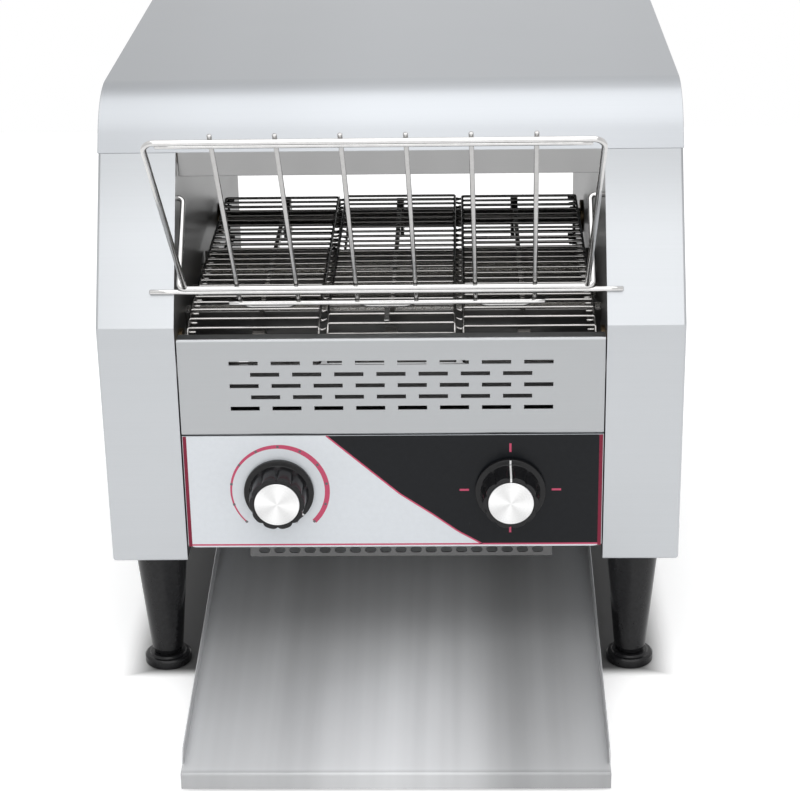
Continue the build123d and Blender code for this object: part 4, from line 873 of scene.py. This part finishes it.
def print_label(control):
    """Dark right part, its slanted boundary, the borders, and the marks round both knobs."""
    slant = softened(BOUNDARY, radius=0.05, steps=10)
    edge = np.concatenate([slant, [(LABEL_HALF, FOOT_LINE), (LABEL_HALF, LABEL_TOP)]])
    places = np.stack([edge[:, 0], np.full(len(edge), FACE - PRINT_LAYER), edge[:, 1]], axis=-1)
    dark = (places, [np.arange(len(edge)).tolist()])
    middle = LABEL_HALF - BORDER / 2
    borders = [ribbon([(x, BORDER_FOOT), (x, LABEL_TOP)], BORDER, LINE_DEPTH) for x in (-middle, middle)]
    foot = [(-LABEL_HALF + BORDER, FOOT_LINE), (LABEL_HALF - BORDER, FOOT_LINE)]
    hours = np.linspace(DIAL_START, DIAL_END, DIAL_STEPS)
    grown = np.clip((hours - DIAL_START) / DIAL_GROWTH, 0, 1) ** 1.5
    arc = SPEED[[0, 2]] + clock_arm(hours) * control.dial
    lines = [ribbon(line, widths, LINE_DEPTH) for line, widths in (
        (foot, 0.0011), (slant, 0.0010), (arc, DIAL_THIN + DIAL_GROWN * grown))]
    for hour, length in MARKS:
        lines.append(clock_mark(SELECTOR, hour, MARK_START, length, width=0.0014, depth=LINE_DEPTH))
    dots = [clock_mark(SPEED, hour, control.dial - DOT / 2, DOT, DOT, LINE_DEPTH - PRINT_LAYER)
            for hour in np.linspace(DIAL_START, DIAL_END, DOTS)]
    for name, shape, material in (
            ("label_dark", dark, finish("dark_print", control.black)),
            # Side borders: red print darkened to maroon as painted shade of the gap beside the pillars
            ("label_side_borders", joined(borders), finish("maroon_print", control.maroon)),
            ("label_red_lines", joined(lines), finish("red_print", control.red)),
            ("label_ticks", joined(dots), finish("grey_print"))):
        make_piece(name, shape, "cabinet", material)


class TOASTER_OT_controls(bpy.types.Operator):
    """Print the control label and turn the knobs and their caps"""
    bl_idname = "toaster.controls"
    bl_label = "Controls"

    def execute(self, context):
        control = context.scene.toaster.control
        dress_solid("control_label", finish("pale_print", control.white), pierced=True)
        print_label(control)
        plastic = finish("glossy_black_plastic", control.plastic)
        for name, node, centre in (("speed", "speed_knob", SPEED), ("selector", "selector_knob", SELECTOR)):
            body = name + "_control"
            grip = fluted_grip(control.flutes, centre)
            make_piece(name + "_grip", grip, body, plastic, node, sharp=50.0)
            disc = revolved(CAP_PROFILE, (centre[0], KNOB_BACK, centre[2]), FRONT_AXES, segments=96)
            cap = spun_metal(name + "_spun_cap", centre)
            make_piece(name + "_disc", disc, body, cap, node + "_cap", sharp=50.0)
        mark = finish("white_mark")
        line = pointer(SELECTOR, 12.0, TOP_RUN + GRIP_RUN)
        make_piece("selector_pointer", line, "selector_control", mark)
        make_piece("speed_pointer", pointer(SPEED, 4.5, GRIP_RUN), "speed_control", mark)
        return {"FINISHED"}


# Legs and feet

LEG_X = 0.1571
LEG_FRONT = 0.035 + NOSE
LEG_REAR = 0.383 + NOSE
LEG_PROFILE = softened([(0.0002, 0.0081), (0.0090, 0.0081), (0.0106, 0.0120), (0.0179, 0.093),
                        (0.0002, 0.093)], 0.0007, 5)
FOOT_PROFILE = softened([(0.0002, 0.0), (0.0150, 0.0), (0.0157, 0.0008), (0.0157, 0.0054), (0.0145, 0.0065),
                         (0.0124, 0.0066), (0.0118, 0.0079), (0.0002, 0.0079)], 0.0004)
UPRIGHT = ((1.0, 0.0, 0.0), (0.0, 1.0, 0.0), (0.0, 0.0, 1.0))


class TOASTER_OT_legs(bpy.types.Operator):
    """Turn the tapered legs and their screw feet"""
    bl_idname = "toaster.legs"
    bl_label = "Legs and feet"

    def execute(self, context):
        plastic = finish("moulded_leg_plastic", context.scene.toaster.control.plastic)
        for place, x, y in (("front_left", -LEG_X, LEG_FRONT), ("front_right", LEG_X, LEG_FRONT),
                            ("rear_left", -LEG_X, LEG_REAR), ("rear_right", LEG_X, LEG_REAR)):
            leg = revolved(LEG_PROFILE, (x, y, 0.0), UPRIGHT, segments=64)
            make_piece(place + "_leg_turned", leg, "cabinet", plastic, place + "_leg")
            foot = revolved(FOOT_PROFILE, (x, y, 0.0), UPRIGHT, segments=64)
            make_piece(place + "_foot_turned", foot, place + "_adjuster", plastic,
                       place + "_foot")
        return {"FINISHED"}


# Heaters

# Quartz tube's radii and places along it, over its outside and back through its bore
TUBE_PROFILE = ((0.0042, -0.149), (0.0047, -0.149), (0.005, -0.1487), (0.005, 0.1487), (0.0047, 0.149),
                (0.0042, 0.149), (0.0042, 0.148), (0.0042, -0.148), (0.0042, -0.149))
# Coil: its turns, steps in a turn, radius and half length
COIL_TURNS = 46
COIL_STEPS = 14
COIL_RADIUS = 0.0031
COIL_HALF = 0.142
LENGTHWISE = ((0.0, 1.0, 0.0), (0.0, 0.0, 1.0), (1.0, 0.0, 0.0))
# Each row's height, and its tubes' depths
TUBE_ROWS = (("upper", 0.343, 0.1535 + np.array([-1.5, -0.5, 0.5, 1.5]) * 0.04825 + NOSE),
             ("lower", 0.239, 0.113 + np.array([-1.0, 0.0, 1.0]) * 0.0406667 + NOSE))


class TOASTER_OT_heaters(bpy.types.Operator):
    """Draw the quartz tubes with the coiled wire inside them"""
    bl_idname = "toaster.heaters"
    bl_label = "Heater tubes"

    def execute(self, context):
        glass = quartz_glass("quartz_tube")
        coil_wire = finish("resistance_wire")
        ceramic = finish("white_ceramic")
        dress_solid("upper_reflector", finish("bright_reflector"), edge=0.0004)
        # Painted shade: the lower reflector gets a darker tone than the upper one for the shade under the
        # belt
        dress_solid("lower_reflector", finish("burnt_reflector"), edge=0.0004)
        for node in ("upper_heater_caps", "lower_heater_caps"):
            dress_solid(node, ceramic, edge=0.0005)
        way = np.linspace(0, 1, COIL_TURNS * COIL_STEPS + 1)
        turn = way * COIL_TURNS * TURN
        for name, height, depths in TUBE_ROWS:
            shapes = []
            coils = []
            for depth in depths:
                vertices, faces = revolved(TUBE_PROFILE, (0.0, depth, height), LENGTHWISE, segments=32)
                shapes.append((vertices, faces[:-2]))
                coils.append(np.stack([COIL_HALF * (2 * way - 1), depth + COIL_RADIUS * np.cos(turn),
                                       height + COIL_RADIUS * np.sin(turn)], axis=-1))
            make_piece(name + "_quartz", joined(shapes), "cabinet", glass, name + "_heating_tubes")
            wound = tubes(coils, radius=0.00045, lean=(1.0, 0.0, 0.0), sides=5)
            make_piece(name + "_coils", wound, "cabinet", coil_wire, sharp=80.0)
        return {"FINISHED"}


# Fasteners

SCREW_PROFILE = softened([(0.0035, 0.0), (0.0035, 0.0008), (0.0026, 0.0017), (0.0002, 0.0019)], 0.0003)
CROSS_LIFT = 0.00194
CROSS_ARM = np.array([(-1, -1), (1, -1), (1, 1), (-1, 1)]) * (0.0019, 0.0004)
# Depths and heights of the screws on the side boxes and the hood, and sides and heights of those on the back
SIDE_X = 0.184
SIDE_SCREWS = ((0.02, 0.107), (0.21, 0.107), (0.398, 0.107), (0.075, 0.338), (0.235, 0.338), (0.395, 0.338))
HOOD_X = 0.1846
HOOD_SCREWS = ((0.14, 0.362), (0.36, 0.362))
REAR_Y = 0.418 + NOSE
REAR_SCREWS = ((0.1595, 0.165), (0.1595, 0.335), (0.115, 0.335))


class TOASTER_OT_fasteners(bpy.types.Operator):
    """Set pan-head screws into the hood, the side boxes and the rear panel"""
    bl_idname = "toaster.fasteners"
    bl_label = "Fasteners"

    def execute(self, context):
        places = []
        for side in (-1.0, 1.0):
            for x, screws in ((SIDE_X, SIDE_SCREWS), (HOOD_X, HOOD_SCREWS)):
                places += [((side * x, y + NOSE, z), (side, 0.0, 0.0)) for y, z in screws]
            places += [((side * x, REAR_Y, z), (0.0, 1.0, 0.0)) for x, z in REAR_SCREWS]
        up = np.array([0.0, 0.0, 1.0])
        heads = []
        marks = []
        for place, out in places:
            out = np.array(out)
            level = np.cross(up, out)
            heads.append(revolved(SCREW_PROFILE, place, (level, up, out), segments=24))
            for first, second in ((level, up), (up, level)):
                corners = CROSS_ARM[:, :1] * first + CROSS_ARM[:, 1:] * second
                marks.append((place + out * CROSS_LIFT + corners, [[0, 1, 2, 3]]))
        make_piece("screw_heads", joined(heads), "cabinet", finish("screw_steel"))
        # Painted shade: flat black crosses on the heads stand for the shade in their cross recesses
        make_piece("screw_crosses", joined(marks), "cabinet", finish("screw_recess"))
        return {"FINISHED"}


# Mechanism inside

MECHANISM = (
    # Painted shade: the shafts, sprockets and rollers inside the chamber get a near-black tone for the shade
    # they sit in
    ("heat_dark_steel", ("drive_shaft", "idler_shaft", "drive_sprockets", "idler_rollers")),
    ("ground_shaft_steel", ("motor_spindle", "speed_spindle", "selector_spindle", "motor_bracket")),
    ("cut_sprocket_steel", ("driven_chain_wheel", "motor_chain_wheel", "drive_chain")),
    ("sintered_bush", ("shaft_bushes",)),
    ("motor_paint", ("gear_motor",)),
    ("moulded_black", ("speed_regulator", "selector_switch", "terminal_block", "cable_gland")),
    ("lacquered_board", ("speed_board",)),
)


class TOASTER_OT_mechanism(bpy.types.Operator):
    """Finish the shafts, sprockets, motor and electrical pieces"""
    bl_idname = "toaster.mechanism"
    bl_label = "Mechanism"

    def execute(self, context):
        for name, nodes in MECHANISM:
            material = finish(name)
            for node in nodes:
                dress_solid(node, material, edge=0.0002)
        return {"FINISHED"}


# Stage

# Camera: its place, and its yaw, pitch and roll in degrees
CAMERA_PLACE = (0.043795, -1.249956 + NOSE, 0.734507)
CAMERA_TURN = (-1.7584, 22.9061, -1.0529)
SENSOR = 36.0
SIGHT = 50.0
# Lamps: their settings, places and sizes, and where they are turned to
LAMPS = (("front", (0.10, -2.10, 1.05), 2.0), ("upper", (0.05, -0.30, 2.0), 2.2),
         ("side", (-1.5, -0.5, 2.1), 1.4), ("rear", (0.3, 1.8, 2.8), 1.6))
LAMP_AIM = Vector((0.0, 0.0, 0.2))
FLOOR_DROP = 0.0002
# Painted shadow on the floor under the body, on each axis: its middle, and where its soft rim starts and ends
PAINTED_SHADOW = (("X", 0.0, 0.160, 0.192), ("Y", 0.215 + NOSE, 0.192, 0.206))


def seen_or_mirrored(tree):
    """One for rays of the camera, mirrors and glass, and nothing for light that falls on the toaster."""
    rays = add_node(tree, "LightPath").outputs
    seen = worked(tree, "MAXIMUM", rays["Is Camera Ray"], rays["Is Glossy Ray"])
    return worked(tree, "MAXIMUM", seen, rays["Is Transmission Ray"])


def beside_body(tree):
    """Mask of the painted shadow: nothing on the floor under the body and one beside it, with a soft rim, by
    Object coordinates.
    """
    axes = object_axes(tree)
    rims = []
    for axis, middle, inner, outer in PAINTED_SHADOW:
        away = worked(tree, "ABSOLUTE", worked(tree, "SUBTRACT", axes[axis], middle))
        rim = add_node(tree, "MapRange", {"From Min": inner, "From Max": outer}, {"Value": away},
                       interpolation_type="SMOOTHSTEP")
        rims.append(rim.outputs["Result"])
    return worked(tree, "MAXIMUM", *rims)


def set_camera(scene, stage):
    """Camera where the photograph was taken, turned by yaw, pitch and roll."""
    yaw, pitch, roll = (math.radians(value) for value in CAMERA_TURN)
    ahead = Vector((math.sin(yaw) * math.cos(pitch), math.cos(yaw) * math.cos(pitch), -math.sin(pitch)))
    level = Vector((math.cos(yaw), -math.sin(yaw), 0.0))
    above = level.cross(ahead)
    right = math.cos(roll) * level + math.sin(roll) * above
    up = -math.sin(roll) * level + math.cos(roll) * above
    camera = bpy.data.objects.new("camera", bpy.data.cameras.new("camera"))
    camera.data.lens = stage.lens
    camera.data.sensor_width = SENSOR
    camera.data.clip_end = SIGHT
    turned = Matrix((right, up, -ahead)).transposed().to_4x4()
    camera.matrix_world = Matrix.Translation(CAMERA_PLACE) @ turned
    scene.collection.objects.link(camera)
    scene.camera = camera


def set_surroundings(scene, stage):
    """Even light, white where it is seen or mirrored."""
    world = bpy.data.worlds.new("surroundings")
    world.use_nodes = True
    scene.world = world
    tree = world.node_tree
    background = tree.nodes["Background"]
    background.inputs["Color"].default_value = (1.0, 1.0, 1.0, 1.0)
    level = add_node(tree, "MapRange", {"To Min": stage.daylight, "To Max": 1.0},
                     {"Value": seen_or_mirrored(tree)})
    tree.links.new(level.outputs["Result"], background.inputs["Strength"])


def set_lamp(scene, name, place, size, power):
    """Square lamp turned to the middle of the toaster."""
    light = bpy.data.lights.new(name, "AREA")
    light.size = size
    light.energy = power
    lamp = bpy.data.objects.new(name, light)
    lamp.location = place
    lamp.rotation_euler = (LAMP_AIM - Vector(place)).to_track_quat("-Z", "Y").to_euler()
    scene.collection.objects.link(lamp)


def set_floor(scene, stage):
    """Flat floor that keeps the shadow, with a painted shadow under the body, where it is darker and gets no
    glow, and lifted to white beside it.
    """
    line = np.linspace(-stage.floor / 2, stage.floor / 2, 3)
    across, deep = np.meshgrid(line, line)
    places = np.stack([across, deep, np.full(across.shape, -FLOOR_DROP)], axis=-1).reshape(-1, 3)
    mesh = bpy.data.meshes.new("floor")
    mesh.from_pydata(places, [], grid_faces(3, 3, False).tolist())
    floor = bpy.data.objects.new("floor", mesh)
    scene.collection.objects.link(floor)
    material = finish("pale_floor")
    tree = material.node_tree
    shader = tree.nodes["Principled BSDF"]
    shader.inputs["Emission Color"].default_value = (1.0, 1.0, 1.0, 1.0)
    beside = beside_body(tree)
    glow = worked(tree, "MULTIPLY", seen_or_mirrored(tree), worked(tree, "MULTIPLY", beside, stage.glow))
    tree.links.new(glow, shader.inputs["Emission Strength"])
    pale = shader.inputs["Base Color"].links[0].from_socket
    # Painted shadow: the floor's tone drops to the shade setting under the body, where it also gets no glow
    shade = (stage.shade, stage.shade, stage.shade, 1.0)
    tone = add_node(tree, "Mix", {"A": shade}, {"Factor": beside, "B": pale}, data_type="RGBA")
    tree.links.new(tone.outputs["Result"], shader.inputs["Base Color"])
    mesh.materials.append(material)


class TOASTER_OT_stage(bpy.types.Operator):
    """Set the camera, the lamps, the white surroundings and the pale floor"""
    bl_idname = "toaster.stage"
    bl_label = "Stage"

    def execute(self, context):
        stage = context.scene.toaster.stage
        scene = context.scene
        scene.view_settings.view_transform = "Standard"
        set_camera(scene, stage)
        set_surroundings(scene, stage)
        for name, place, size in LAMPS:
            set_lamp(scene, name + "_lamp", place, size, getattr(stage, name))
        set_floor(scene, stage)
        return {"FINISHED"}


class TOASTER_PT_pieces(bpy.types.Panel):
    """Pieces of the toaster"""
    bl_idname = "TOASTER_PT_pieces"
    bl_label = "Toaster"
    bl_space_type = "VIEW_3D"
    bl_region_type = "UI"
    bl_category = "Toaster"

    def draw(self, context):
        for operator in OPERATORS:
            self.layout.operator(operator.bl_idname)


OPERATORS = (
    TOASTER_OT_sheet_steel,
    TOASTER_OT_belt,
    TOASTER_OT_rack,
    TOASTER_OT_controls,
    TOASTER_OT_legs,
    TOASTER_OT_heaters,
    TOASTER_OT_fasteners,
    TOASTER_OT_mechanism,
    TOASTER_OT_stage,
)
SETTINGS = (SteelSettings, BeltSettings, RackSettings, ControlSettings, StageSettings, ToasterSettings)
CLASSES = SETTINGS + OPERATORS + (TOASTER_PT_pieces,)


def register():
    for kind in CLASSES:
        bpy.utils.register_class(kind)
    bpy.types.Scene.toaster = PointerProperty(type=ToasterSettings)


def unregister():
    del bpy.types.Scene.toaster
    for kind in reversed(CLASSES):
        bpy.utils.unregister_class(kind)


def main():
    register()
    bpy.ops.toaster.sheet_steel()
    bpy.ops.toaster.belt()
    bpy.ops.toaster.rack()
    bpy.ops.toaster.controls()
    bpy.ops.toaster.legs()
    bpy.ops.toaster.heaters()
    bpy.ops.toaster.fasteners()
    bpy.ops.toaster.mechanism()
    bpy.ops.toaster.stage()


if __name__ == "__main__":
    main()
